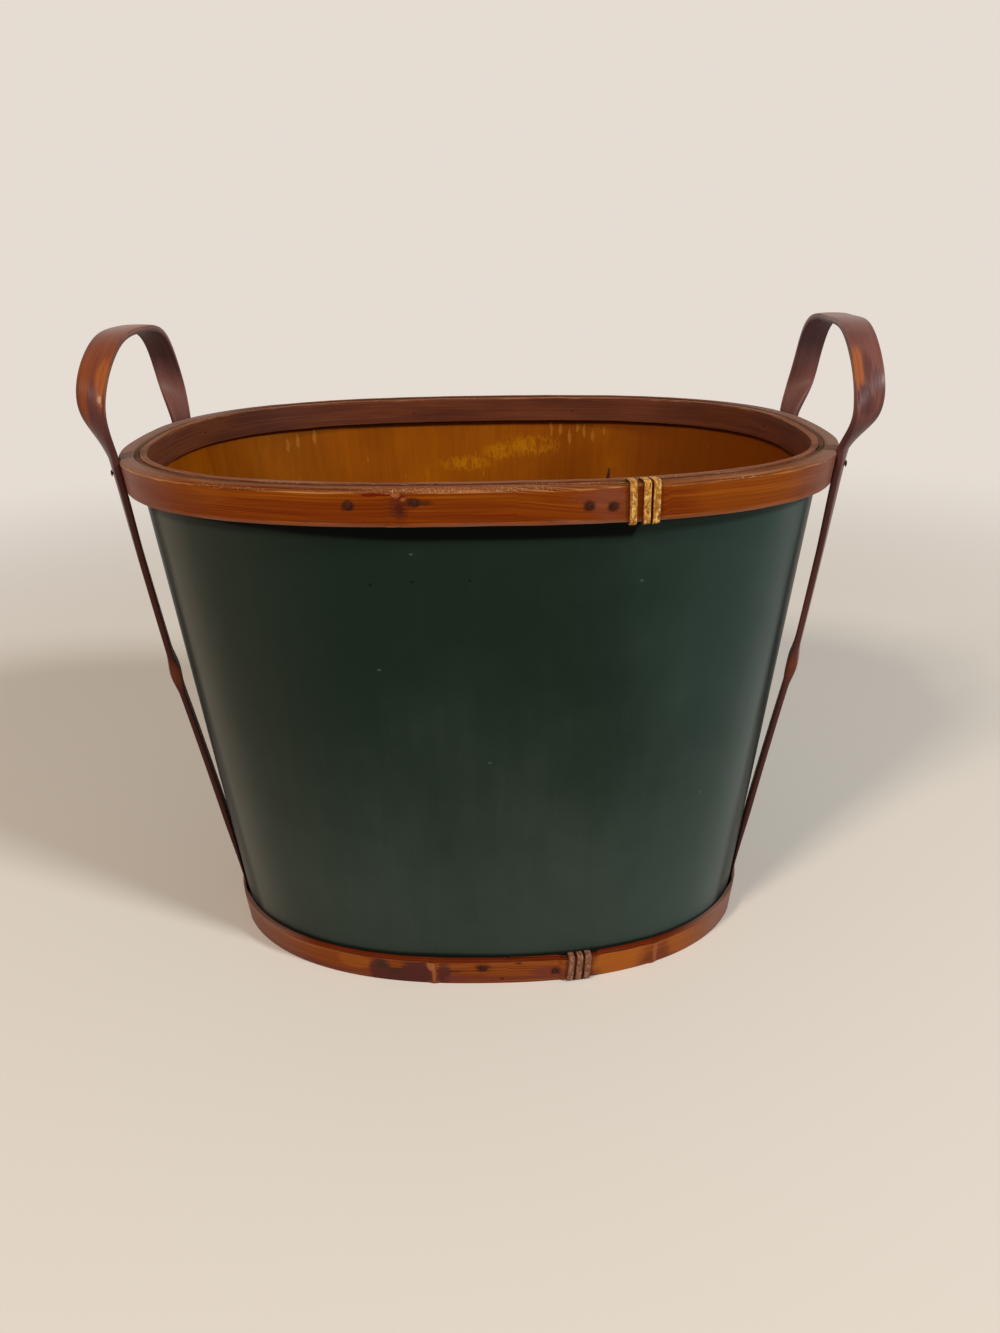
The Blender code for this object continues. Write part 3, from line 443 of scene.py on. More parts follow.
def solid_strip(name, points, along, section, material, others=()):
    """A strip: its map "grain" holds metres along it and round its section, and "section" the places in it.

    Those places are shares of the section's two sizes, one pair for each column.
    """
    around = metres_along(np.concatenate([points, points[:, :1]], axis=1))
    grain = np.stack([np.broadcast_to(along[:, None], around.shape), around], axis=-1)
    section = np.broadcast_to(np.concatenate([section, section[:1]]), grain.shape)
    return closed_solid(name, points, {"grain": grain, "section": section}, material, others)


class LappedStrip:
    """A strip bent once round the wall, whose thinned ends lie over each other.

    It starts one lap before its outer tip's place on a side of the wall, and ends on that tip one round later.
    """

    def __init__(self, side, place, lap, level, count):
        self.level, self.length, self.tip = level, round_length(level), turn_at(side, place, level)
        self.lap, self.step = lap, step = lap / self.length, LAP_STEP_RUN / self.length
        even = np.linspace(self.tip - lap, self.tip + 1.0, count)
        marks = self.tip + np.array([step, 2 * step, -lap - 2 * step, -lap - step])
        marks = np.concatenate([marks, marks + 1.0, marks - 1.0])
        marks = marks[(marks > even[0]) & (marks < even[-1])]
        apart = np.min(np.abs(even[:, None] - marks), axis=1) > LEAST_STEP / count
        apart[[0, -1]] = True
        self.turns = np.sort(np.concatenate([even[apart], marks]))

    def scarfed(self, inner, outer):
        """Inner and outer offsets: the first end lies inside the last one, and each thins to its tip."""
        start, end = self.turns - self.tip, self.turns - self.tip - 1.0 + self.lap
        slope = (outer - inner) - 2 * LAP_TIP - GAP
        thin_outer = inner + LAP_TIP + slope * np.clip(start / self.lap + 1.0, 0.0, 1.0)
        thin_inner = inner + LAP_TIP + GAP + slope * np.clip(end / self.lap, 0.0, 1.0)
        full_outer = np.clip(start / self.step - 1.0, 0.0, 1.0)
        thinned = np.clip(end / self.step + 2.0, 0.0, 1.0)
        return inner + (thin_inner - inner) * thinned, thin_outer + (outer - thin_outer) * full_outer

    def bump(self, turn, flat, run):
        """1 within flat metres of a turn, the short way round, easing to 0 over the run beyond it."""
        return bump(((self.turns - turn + 0.5) % 1.0 - 0.5) * self.length, flat, run)

    def waver(self, seed, size):
        """Slow unevenness of a hand-split strip: a few sines round the oval with seeded phases."""
        phases = np.random.default_rng(seed).uniform(0.0, 2 * np.pi, WAVES)
        waves = [np.sin(2 * np.pi * self.turns * (5 + 6 * k) + phase) / (1 + 0.5 * k)
                 for k, phase in enumerate(phases)]
        return np.abs(np.sum(waves, axis=0)) * size / 3.0

    def solid(self, name, offsets, heights, section, material, others=()):
        points = face_at(self.turns[:, None], heights, offsets)
        return solid_strip(name, points, self.turns * self.length, section, material, others)


def strip_map(start, name):
    return start.node("ShaderNodeUVMap", {"uv_map": name})


def marked(colour, place, wobble, marks):
    """A colour with marks over it, each with its place, half sizes, raggedness, colour and strength."""
    for centre, size, ragged, mark, strength in marks:
        colour = (place.blot(centre, size, wobble, ragged) * strength).mix(colour, mark)
    return colour


def green_paint():
    """Satin paint with nicks. Painted shadow makes it near black under the rim, and painted shade darkens it just
    above the foot hoop. Painted reflection makes it paler lower down and towards both ends, among random clouds.

    A painted sheen makes it pale where the oval turns, most at the front, and a painted dark reflection keeps it
    dark between the handles' legs.
    """
    material, start, shader = new_material("green_paint")
    place = object_place(start)
    cloud = place.noise(11.0, 4.0, 0.6)
    brushed = place.stretched(1.0, 1.0, 0.06).noise(150.0, 3.0, 0.6)
    fine = place.noise(2500.0, 1.0)
    # Painted reflection of the floor: the paint grows paler towards the foot, mixed with random paler clouds.
    low = place.axis(2).ease(0.24, 0.03)
    haze_and_reflection = (low * 0.75 + cloud * 0.9 + brushed * 0.25).ease(0.45, 1.7)
    colour = haze_and_reflection.mix(GREEN_PAINT, GREEN_HAZE_AND_REFLECTION)
    # Painted sheen: the paint is paler and cooler towards the right end, and paler and warmer towards the left
    # end.
    right = (place.axis(0) + (cloud - 0.5) * 0.06).ease(0.03, 0.2)
    colour = (right * 0.75).mix(colour, GREEN_RIGHT_SHEEN)
    left = (place.axis(0) + (cloud - 0.5) * 0.06).ease(-0.06, -0.2)
    colour = (left * 0.6).mix(colour, GREEN_LEFT_SHEEN)
    # Painted sheen where the oval turns, strongest on the front, and a painted dark reflection at the ends
    # between the handles' legs.
    half_width = place.axis(2) * WIDENING + FOOT_HALVES[1]
    bend = place.maths("ABSOLUTE", place.axis(1)) / half_width + (brushed - 0.5) * 0.05
    facing = place.axis(1).ease(0.06, -0.06) * 0.65 + 0.35
    worn = bend.ease(0.8, 0.58) * bend.ease(0.53, 0.61) * (0.1 + cloud * 0.7) * facing
    colour = worn.mix(colour, right.mix(TURN_SHEEN_LEFT, TURN_SHEEN_RIGHT))
    colour = (bend.ease(0.61, 0.54) * 0.9).mix(colour, TURN_DARK_REFLECTION)
    # Painted shadow of the rim hoop: a near-black band under it, deepest left of the lashing, thin at the left
    # end and right of the lashing.
    depth = place.axis(0).ease(-0.17, -0.03) * place.axis(0).ease(0.075, 0.069) * 0.0065 + 0.002
    under = (place.axis(2) + depth + (cloud - 0.5) * 0.003).ease(RIM_LOW - 0.0016, RIM_LOW + 0.001)
    colour = (under * (0.95 - right * 0.3)).mix(colour, PAINTED_SHADE)
    # Painted shade: the paint darkens just above the foot hoop, where the wall meets it.
    foot_shade = (place.axis(2) + (cloud - 0.5) * 0.004).ease(FOOT_HOOP_HEIGHT + 0.003, FOOT_HOOP_HEIGHT + 0.0004)
    colour = (foot_shade * 0.75).mix(colour, PAINTED_SHADE)
    marks = [(on_wall(*nick, 0.0), (0.0009, 0.003, 0.0006), 2.5, PALE_NICK, 0.6) for nick in PALE_NICKS]
    marks += [(on_wall(*dot, 0.0), (0.0007, 0.003, 0.0007), 0.8, DARK_DOT, 0.8) for dot in DARK_DOTS]
    colour = marked(colour, place, fine, marks)
    rubs = place.stretched(60.0, 60.0, 14.0).noise(1.0, 3.0, 0.7).ease(0.7, 0.8) * cloud.ease(0.5, 0.7)
    coat(shader, (rubs * 0.25).mix(colour, PALE_NICK), 0.27 + cloud * 0.1 + brushed * 0.05 + rubs * 0.2, 0.04,
         place.noise(9.0, 2.0) * 0.0012 + brushed * 0.00003, 0.5)
    shader.inputs["Sheen Weight"].default_value = 0.08
    shader.inputs["Sheen Roughness"].default_value = 0.35
    return material


def amber_varnish():
    """Varnished sheet: soft upright grain, rubbed yellow patches at the back and short pale scuffs."""
    material, start, shader = new_material("amber_varnish")
    grain, place = strip_map(start, "grain"), object_place(start)
    streaks = grain.strands(150.0, 8.0, 3.0)
    fine = grain.strands(650.0, 24.0, 2.0)
    broad = grain.strands(13.0, 7.0, 3.0, 0.55)
    colour = (streaks * 0.2 + broad * 0.65 + fine * 0.15).ease(0.3, 0.62).mix(AMBER_DEEP, AMBER)
    right = place.axis(0).ease(0.05, 0.18)
    colour = (right * 0.85).mix(colour, AMBER_DEEP)
    patchy = grain.strands(240.0, 75.0, 4.0, 0.75)
    worn = broad.ease(0.52, 0.7) * patchy.ease(0.42, 0.66) * (1.0 - right) * 0.6
    for x, height, half_width, half_height in WORN_PATCHES:
        centre = on_wall(x, height, -WALL_THICKNESS, BACK)
        blot = place.blot(centre, (half_width, 0.02, half_height), patchy, 4.5)
        worn = worn.most(blot * patchy.ease(0.36, 0.6))
    colour = (worn * 0.7).mix(colour, AMBER_PALE)
    colour = marked(colour, place, patchy, [
        (on_wall(*scuff, -WALL_THICKNESS, BACK), (0.001, 0.004, 0.004), 5.0, AMBER_SCUFF, 0.28)
        for scuff in SCUFFS])
    scuffs = grain.strands(520.0, 80.0, 1.0, 0.5).ease(0.74, 0.8)
    coat(shader, (scuffs * 0.3).mix(colour, AMBER_SCUFF), 0.45 + fine * 0.2, 0.05,
         streaks * 0.00008 + fine * 0.00005, 0.6)
    return material


def raw_edge():
    """The sheet's cut edge, brown and fibrous."""
    material, start, shader = new_material("sheet_edge")
    fibre = object_place(start).noise(900.0, 3.0, 0.7)
    coat(shader, fibre.ease(0.4, 0.6).mix(SHEET_EDGE, SHEET_EDGE_PALE), 0.8, 0.1)
    return material


def make_wall():
    """Rows run round the oval; a row goes up the inner face and down the outer face of the sheet."""
    strip = LappedStrip(RIGHT, WALL_LAP_Y, WALL_LAP_LENGTH, BODY_HEIGHT, WALL_STATIONS)
    levels = np.linspace(WALL_FOOT_LIFT, BODY_HEIGHT - WALL_RIM_DROP, WALL_ROWS)
    heights = np.concatenate([levels, levels[::-1]])
    offsets = np.repeat(np.stack(strip.scarfed(-WALL_THICKNESS, 0.0), axis=-1), WALL_ROWS, axis=1)
    columns = np.arange(2 * WALL_ROWS)
    section = np.stack([columns >= WALL_ROWS, heights / BODY_HEIGHT], axis=-1)
    inside, edges = columns < WALL_ROWS, (columns + 1) % WALL_ROWS == 0
    wall = strip.solid("wall", offsets, heights, section, green_paint(),
                       [(amber_varnish(), inside), (raw_edge(), edges)])
    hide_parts("wall_panel")


make_wall()


# The base: an oval board pressed inside the foot of the wall and nailed through it. It is plain varnished wood
# with its grain along the basket, dulled by what has stood on it.
BASE_THICKNESS = 0.008
BASE_LIFT = 0.006
BASE_EDGE_ROUNDING = 0.0008
BASE_STATIONS = 360
BASE_WOOD = (0.23, 0.105, 0.028)
BASE_WOOD_DARK = (0.11, 0.045, 0.012)
BASE_WOOD_WORN = (0.3, 0.17, 0.07)


def board_wood():
    """Long grain: stretched noise drives dark rings, with scattered scuffs over it."""
    material, start, shader = new_material("base_board_wood")
    place = object_place(start)
    rings = place.stretched(1.2, 26.0, 26.0).noise(1.0, 3.0, 0.6)
    fibres = place.stretched(14.0, 600.0, 600.0).noise(1.0, 2.0, 0.6)
    mix = (rings.maths("SINE", rings * 40.0) * 0.25 + 0.5) * 0.6 + fibres * 0.4
    colour = mix.ease(0.2, 0.8).mix(BASE_WOOD_DARK, BASE_WOOD)
    worn = place.noise(30.0, 4.0, 0.7).ease(0.55, 0.75) * 0.35
    coat(shader, worn.mix(colour, BASE_WOOD_WORN), 0.5 + fibres * 0.25, 0.25, fibres * 0.00006, 0.5)
    return material


def make_base():
    """A row goes once round the oval. The rows go from the bottom out over its edge, up, and in to the top."""
    turns = np.linspace(0.0, 1.0, BASE_STATIONS, endpoint=False)
    rounding = BASE_EDGE_ROUNDING * np.array([[1.0], [0.3], [0.0]])
    offsets = -WALL_THICKNESS - GAP - np.concatenate([rounding, rounding[::-1]])
    heights = BASE_LIFT + np.concatenate([rounding[::-1], BASE_THICKNESS - rounding])
    base = closed_solid("base", face_at(turns, heights, offsets), {}, board_wood())
    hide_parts("base_board")


make_base()


# The outer rim hoop: a thick strip of split bamboo bent hot round the wall, its thinned ends lapped in front
# under the cane. A painted highlight runs along the arris, the cut top edge is dull, and one bamboo node shows
# as a scar.
TOP_HOOP_ROUNDING = 0.0019
EDGE_ROUNDING = 0.0006
ROUNDING_SHARE = 0.45
TOP_LAP_X, TOP_LAP_LENGTH = 0.079, 0.06
TOP_NODE_X = -0.04
NODE_SWELL, NODE_RUN = 0.0007, 0.0035
TOP_WRAPS_X = (0.0703, 0.0766, 0.081)
CANE_WIDTH, CANE_THICKNESS = 0.0038, 0.0011
WRAP_CLEARANCE = 0.00035
STRAND_ROOM = CANE_THICKNESS + 2 * WRAP_CLEARANCE
RELIEF_RUN = 0.0025
HOOP_STATIONS, FACE_POINTS, CORNER_POINTS = 900, 8, 5
# Seed and size of the unevenness of the outer face, the lower edge and the upper one
TOP_HOOP_WAVER = ((3, 0.0002), (4, 0.00025), (5, 0.0002))

RIM_TONES = ((0.108, 0.013, 0.0006), (0.168, 0.03, 0.0006), (0.3, 0.082, 0.003))
SHEEN_AND_SHADE_GREY = (0.168, 0.065, 0.044)
RIM_DULL = (0.115, 0.024, 0.009)
TOP_END_SHEEN = (0.21, 0.115, 0.085)
RIM_GOLD = (0.27, 0.07, 0.004)
CUT_EDGE = (0.155, 0.04, 0.008)
CUT_EDGE_PALE = (0.48, 0.24, 0.12)
CUT_EDGE_DARK = (0.028, 0.004, 0.001)
LOWER_EDGE = (0.21, 0.095, 0.06)
ARRIS_HIGHLIGHT = (0.52, 0.22, 0.06)
STAIN = (0.03, 0.009, 0.004)
RED_SCAR = (0.11, 0.006, 0.002)
KNOT = (0.06, 0.009, 0.004)
FLECK = (0.38, 0.12, 0.035)
# Each mark: right of the middle and height, half its length and half its height, how ragged, colour, strength
RIM_MARKS = (
    (0.13, 0.2985, 0.042, 0.014, 1.5, RIM_GOLD, 0.3),
    (-0.135, 0.301, 0.025, 0.006, 2.0, RIM_GOLD, 0.3),
    (-0.15, 0.296, 0.045, 0.012, 2.0, RIM_DULL, 0.4),
    # Painted shade: grey-pink marks beside the lashing
    (0.06, 0.2985, 0.0085, 0.0095, 5.0, SHEEN_AND_SHADE_GREY, 0.22),
    (0.054, 0.301, 0.012, 0.005, 5.0, SHEEN_AND_SHADE_GREY, 0.18),
    (-0.048, 0.3041, 0.004, 0.0009, 0.8, RED_SCAR, 0.95),
    (-0.0415, 0.3042, 0.005, 0.0005, 0.8, RED_SCAR, 0.9),
    (-0.035, 0.3032, 0.0036, 0.0006, 0.8, RED_SCAR, 0.8),
    (-0.0355, 0.298, 0.0042, 0.0066, 3.0, KNOT, 0.6),
    (-0.0352, 0.2976, 0.002, 0.0028, 3.0, KNOT, 0.9),
    (-0.0366, 0.304, 0.0016, 0.0012, 6.0, FLECK, 0.6),
    (-0.033, 0.302, 0.0012, 0.0008, 6.0, FLECK, 0.5),
    (-0.0581, 0.299, 0.003, 0.0026, 2.0, STAIN, 0.7),
    (-0.029, 0.3006, 0.0036, 0.0022, 2.5, STAIN, 0.7),
    (-0.024, 0.3002, 0.0044, 0.0011, 4.0, STAIN, 0.65),
    (0.0502, 0.2975, 0.003, 0.0025, 2.5, STAIN, 0.6),
    (0.0611, 0.2968, 0.003, 0.0023, 2.5, STAIN, 0.6),
)


def wrap_places(wraps_x, height):
    """Turns of a winding's wraps, with its start and end halfway to the next wrap there would be."""
    wraps = turn_at(FRONT, np.array(wraps_x), height)
    between = (wraps[1:] + wraps[:-1]) / 2
    return wraps, np.concatenate([[2 * wraps[0] - between[0]], between, [2 * wraps[-1] - between[-1]]])


def wrapped_part(strip, wraps_x):
    """1 along the part of a hoop that a cane winding covers, easing to 0 beyond it."""
    between = wrap_places(wraps_x, strip.level)[1]
    reach = (between[-1] - between[0]) / 2 * strip.length + CANE_WIDTH / 2 + WRAP_CLEARANCE
    return strip.bump((between[0] + between[-1]) / 2, reach, RELIEF_RUN)


def bamboo_node(strip, x):
    """How far a hoop swells at a bamboo node in front, this far right of the middle."""
    return strip.bump(turn_at(FRONT, x, strip.level), 0.0, NODE_RUN) * NODE_SWELL


def make_hoop(name, strip, inner, outer, low, high, top_rounding, face_points, material):
    """A hoop from the offsets and heights of its four sides along the strip.

    Quarter circles join the faces, and each face is divided. A row starts at the foot of the inner face, goes
    up it, over the top, down the outer face and back under the bottom.
    """
    room = (outer - inner) * ROUNDING_SHARE
    edge, top = np.minimum(EDGE_ROUNDING, room), np.minimum(top_rounding, room)
    corners = ((inner + edge, low + edge, edge, 1.5 * np.pi), (inner + edge, high - edge, edge, np.pi),
               (outer - top, high - top, top, 0.5 * np.pi), (outer - edge, low + edge, edge, 0.0))
    arcs = []
    for offset, height, radius, start in corners:
        angles = start - np.linspace(0.0, np.pi / 2, CORNER_POINTS)
        circle = np.stack([np.cos(angles), np.sin(angles)], axis=-1)
        arcs.append(np.stack([offset, height], axis=-1)[:, None] + radius[:, None, None] * circle)
    parts = []
    for arc, after, count in zip(arcs, arcs[1:] + arcs[:1], (face_points, face_points // 2) * 2):
        shares = np.linspace(0.0, 1.0, count + 2)[1:-1, None]
        parts += [arc, arc[:, -1:] * (1 - shares) + after[:, :1] * shares]
    outline = np.concatenate(parts, axis=1)
    middle = outline[len(outline) // 2]
    section = (middle - middle.min(axis=0)) / np.ptp(middle, axis=0)
    return strip.solid(name, outline[..., 0], outline[..., 1], section, material)


def split_bamboo(name, tones, marks, outside, lower_edge, dull_from, arris_strength):
    """Split bamboo under old varnish: fibres along the skin, a painted highlight on the arris, dull cut edges,
    and its own marks.

    tones are the skin's deep, middle and pale colours and the cut edge's dark and pale ones. outside is how far
    the outer face stands from the wall's. lower_edge is a colour laid over the lowest part: that colour, the
    share of the height where it ends, and its strength at the left and right end. Both ends of the hoop get a
    grey-pink painted sheen, from dull_from out from the middle. Painted shade darkens the cut top towards the
    wall.
    """
    material, start, shader = new_material(name)
    grain, section, place = strip_map(start, "grain"), strip_map(start, "section"), object_place(start)
    deep, middle, pale, edge_dark, edge_pale = tones
    hairs = grain.strands(14.0, 2600.0, 2.0)
    strands = grain.strands(8.0, 1100.0, 3.0, 0.65)
    broad = grain.strands(12.0, 190.0, 3.0)
    speckle = place.noise(1300.0, 2.0, 0.7)
    through, rise = section.axis(0), section.axis(1)
    colour = (hairs * 0.32 + strands * 0.43 + broad * 0.25 + rise * 0.08).ease(0.42, 0.59).mix(deep, middle)
    colour = ((strands * 0.6 + broad * 0.4 + rise * 0.1).ease(0.56, 0.72) * 0.65).mix(colour, pale)
    colour = (hairs.ease(0.44, 0.36) * 0.35).mix(colour, deep)
    edge_colour, edge_height, left, right = lower_edge
    ragged_rise = rise + (broad - 0.5) * 0.3
    towards_right = place.axis(0).ease(-0.15, 0.15)
    edge = ragged_rise.ease(edge_height + 0.1, edge_height - 0.1) * (left + towards_right * (right - left))
    colour = edge.mix(colour, edge_colour)
    rubbed = grain.strands(30.0, 500.0, 3.0, 0.7)
    line = rise.near(0.095, 0.003, 0.03) * rubbed.ease(0.42, 0.58)
    colour = (line * 0.6).mix(colour, pale)
    fibrous = speckle * 0.5 + strands * 0.5
    colour = marked(colour, place, fibrous, [
        (on_wall(x, height, outside), (half_length, 0.02, half_height), *rest)
        for x, height, half_length, half_height, *rest in marks])
    lines = grain.strands(9.0, 1300.0, 3.0, 0.7)
    flecks = speckle.ease(0.54, 0.64) * grain.strands(26.0, 90.0, 2.0).ease(0.42, 0.6)
    cut = (lines.ease(0.54, 0.68) * 0.4).most(flecks * 0.85).mix(edge_dark, edge_pale)
    cut = (lines.ease(0.46, 0.38) * 0.85).mix(cut, CUT_EDGE_DARK)
    # Painted shade: the cut top darkens towards the wall, into the groove between hoop and wall.
    cut = ((through + (lines - 0.5) * 0.3).ease(0.4, 0.1) * 0.85).mix(cut, CUT_EDGE_DARK)
    skin = through.ease(0.72, 0.82) * rise.ease(0.905, 0.885)
    # Painted sheen: both ends of the hoop turn grey-pink, on the skin and on the cut top, out from the middle.
    end_sheen = (1.0 - place.axis(0).near(0.0, dull_from, 0.045)) * (0.5 + broad * 0.7)
    colour = end_sheen.mix(skin.mix(cut, colour), skin.mix(TOP_END_SHEEN, SHEEN_AND_SHADE_GREY))
    # Painted highlight: pale streaks along the top arris of the skin, broken up by noise.
    arris = rise.near(0.893, 0.004, 0.03) * through.ease(0.72, 0.82) * rubbed.ease(0.42, 0.6)
    coat(shader, (arris * arris_strength).mix(colour, ARRIS_HIGHLIGHT),
         (1.0 - skin) * 0.25 + 0.28 + strands * 0.2, 0.04,
         hairs * 0.00004 + strands * 0.0001 + (1.0 - skin) * (speckle * 0.0002 + lines * 0.0003), 0.7)
    return material


def make_top_outer_hoop():
    strip = LappedStrip(FRONT, TOP_LAP_X, TOP_LAP_LENGTH, BODY_HEIGHT, HOOP_STATIONS)
    relief = wrapped_part(strip, TOP_WRAPS_X) * (STRAND_ROOM - GAP)
    inner, outer = strip.scarfed(GAP + relief, TOP_HOOP_OUTSIDE)
    face, below, above = [strip.waver(*waver) for waver in TOP_HOOP_WAVER]
    material = split_bamboo("rim_bamboo", RIM_TONES + (CUT_EDGE, CUT_EDGE_PALE), RIM_MARKS, TOP_HOOP_OUTSIDE,
                            (LOWER_EDGE, 0.05, 0.85, 0.85), dull_from=0.14, arris_strength=0.85)
    hoop = make_hoop("rim_hoop_outer", strip, inner, outer + bamboo_node(strip, TOP_NODE_X) - face,
                     RIM_LOW + below, BODY_HEIGHT - above, TOP_HOOP_ROUNDING, FACE_POINTS, material)
    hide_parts("top_outer_hoop")


make_top_outer_hoop()


# The inner rim hoop: a thinner strip inside the wall, level with the outer one, that the nails clamp to it. It
# is darker and redder, and its ends lap at the front.
INNER_HOOP_THICKNESS, INNER_HOOP_HEIGHT = 0.0038, 0.0161
INNER_LAP_X, INNER_LAP_LENGTH = -0.02, 0.04
INNER_HOOP_OUTSIDE = -WALL_THICKNESS - GAP
INNER_FACE_POINTS = 6
INNER_HOOP_WAVER = ((6, 0.0003), (7, 0.0003))
RED_BROWN = (0.125, 0.031, 0.011)
RED_BROWN_DEEP = (0.07, 0.017, 0.008)
RED_BROWN_PALE = (0.18, 0.06, 0.024)


def dark_bamboo():
    """Dark red-brown strip: long soft fibres, cloudy stain, and a dull speckled top edge."""
    material, start, shader = new_material("inner_rim_bamboo")
    grain, section, place = strip_map(start, "grain"), strip_map(start, "section"), object_place(start)
    fibres = grain.strands(7.0, 1300.0, 3.0, 0.65)
    cloud = grain.strands(14.0, 120.0, 3.0)
    colour = (fibres * 0.4 + cloud * 0.6).ease(0.36, 0.64).mix(RED_BROWN_DEEP, RED_BROWN)
    colour = (fibres.ease(0.55, 0.75) * 0.5).mix(colour, RED_BROWN_PALE)
    speckle = place.noise(1300.0, 2.0, 0.7)
    pitted = grain.strands(22.0, 60.0, 2.0).ease(0.45, 0.62)
    top = section.axis(1).ease(0.955, 0.985)
    flecks = (speckle.ease(0.54, 0.64) * pitted * 0.85).most(fibres.ease(0.54, 0.68) * 0.5)
    cut = (fibres.ease(0.44, 0.36) * 0.8).mix(flecks.mix(CUT_EDGE, CUT_EDGE_PALE), CUT_EDGE_DARK)
    colour = (top * 0.9).mix(colour, cut)
    rubbed = grain.strands(30.0, 400.0, 3.0, 0.7).ease(0.48, 0.64)
    corner = section.axis(1).near(0.965, 0.004, 0.02)
    coat(shader, (corner * rubbed * 0.5).mix(colour, CUT_EDGE_PALE), 0.42 + fibres * 0.16, 0.08,
         fibres * 0.00005 + top * speckle * 0.00015, 0.7)
    return material


def make_top_inner_hoop():
    strip = LappedStrip(FRONT, INNER_LAP_X, INNER_LAP_LENGTH, BODY_HEIGHT, HOOP_STATIONS)
    inner, outer = strip.scarfed(INNER_HOOP_OUTSIDE - INNER_HOOP_THICKNESS, INNER_HOOP_OUTSIDE)
    below, above = [strip.waver(*waver) for waver in INNER_HOOP_WAVER]
    hoop = make_hoop("rim_hoop_inner", strip, inner, outer, BODY_HEIGHT - INNER_HOOP_HEIGHT + below,
                     BODY_HEIGHT - above, EDGE_ROUNDING, INNER_FACE_POINTS, dark_bamboo())
    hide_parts("top_inner_hoop")


make_top_inner_hoop()


# The foot hoop: a thin strip of split bamboo nailed round the foot through the wall into the base board. It has
# two bamboo nodes in front, and passes over the handles' tucked ends, the lap and the cane.
FOOT_LAP_X, FOOT_LAP_LENGTH = 0.056, 0.045
FOOT_WRAPS_X = (0.0478, 0.0527, 0.0576)
FOOT_NODES_X = (-0.033, 0.099)
FOOT_HOOP_WAVER = (8, 0.0003)
TUCK_THICKNESS = 0.001
TUCK_HOLLOW_WIDTH, TUCK_HOLLOW_RUN = 0.0095, 0.014
TUCK_PINCH = 0.0006
LEG_SPREAD_FOOT = 0.029
# At the rim: the shift of a handle's middle, half the spread of its legs, and how far above the nails the
# twist ends. Above the rim: half the spread, height and lean outwards of the loop and its shoulder, and the
# height and lean of the top
HANDLES = {
    "handle_left": {
        "side": -1, "middle": -0.0016, "leg_spread": 0.0606, "twist_height": 0.056,
        "loop": (0.0652, 0.0256, 0.0047), "shoulder": (0.0404, 0.0531, 0.0034), "top": (0.0594, -0.0055),
    },
    "handle_right": {
        "side": 1, "middle": -0.0075, "leg_spread": 0.0582, "twist_height": 0.045,
        "loop": (0.065, 0.019, 0.0068), "shoulder": (0.0428, 0.0536, 0.007), "top": (0.0602, -0.0004),
    },
}

PURPLE = (0.066, 0.016, 0.014)
PURPLE_RED = (0.13, 0.028, 0.017)
GREEN_BLACK = (0.04, 0.02, 0.01)
NODE_RING = (0.3, 0.1, 0.04)
FOOT_TONES = ((0.11, 0.018, 0.003), (0.2, 0.045, 0.006), (0.31, 0.095, 0.018))
GOLD = (0.34, 0.092, 0.011)
FOOT_WORN = (0.31, 0.15, 0.085)
RED_TOP = (0.11, 0.014, 0.002)
RED_TOP_PALE = (0.17, 0.03, 0.006)
FOOT_MARKS = (
    (-0.164, 0.008, 0.03, 0.014, 1.5, PURPLE_RED, 0.85),
    (0.078, 0.01, 0.0165, 0.012, 0.5, GOLD, 0.75),
    (0.125, 0.01, 0.022, 0.012, 0.5, GOLD, 0.55),
    (0.15, 0.01, 0.034, 0.016, 1.5, FOOT_WORN, 0.7),
    (-0.08, 0.012, 0.01, 0.006, 1.0, GOLD, 0.35),
    (-0.064, 0.0075, 0.007, 0.01, 1.5, PURPLE, 0.88),
    (-0.0545, 0.004, 0.008, 0.0062, 1.5, PURPLE, 0.92),
    (-0.043, 0.0075, 0.01, 0.0098, 1.2, PURPLE, 0.95),
    (-0.0635, 0.012, 0.0034, 0.0042, 4.0, GREEN_BLACK, 0.8),
    (-0.0555, 0.0082, 0.006, 0.0018, 4.0, GREEN_BLACK, 0.7),
    (-0.0265, 0.0078, 0.0046, 0.008, 2.5, PURPLE, 0.88),
    (-0.0185, 0.004, 0.008, 0.0034, 3.0, PURPLE_RED, 0.75),
    (-0.02, 0.0098, 0.0035, 0.0016, 4.0, PURPLE, 0.6),
    (-0.0342, 0.014, 0.0022, 0.0036, 1.5, NODE_RING, 0.85),
    (-0.0325, 0.008, 0.001, 0.007, 2.5, NODE_RING, 0.65),
    (-0.0037, 0.0124, 0.0046, 0.0026, 4.5, STAIN, 0.8),
    (0.0077, 0.0036, 0.0013, 0.0009, 2.0, STAIN, 0.7),
    (0.0173, 0.0157, 0.0022, 0.001, 3.0, STAIN, 0.75),
    (0.035, 0.0075, 0.01, 0.005, 4.0, PURPLE_RED, 0.75),
    (0.0395, 0.008, 0.0026, 0.0024, 4.0, STAIN, 0.65),
    (0.093, 0.006, 0.005, 0.008, 3.0, PURPLE_RED, 0.3),
    (0.0997, 0.0095, 0.0013, 0.009, 2.0, NODE_RING, 0.55),
    (0.105, 0.006, 0.004, 0.008, 3.0, PURPLE_RED, 0.45),
)


def leg_turn(handle, way, height):
    """Turn of a handle's front (-1) or back (+1) leg. The legs close in evenly towards the foot."""
    share = height / BODY_HEIGHT
    spread = LEG_SPREAD_FOOT * (1 - share) + handle["leg_spread"] * share
    return turn_at(RIGHT if handle["side"] > 0 else LEFT, handle["middle"] * share + way * spread, height)


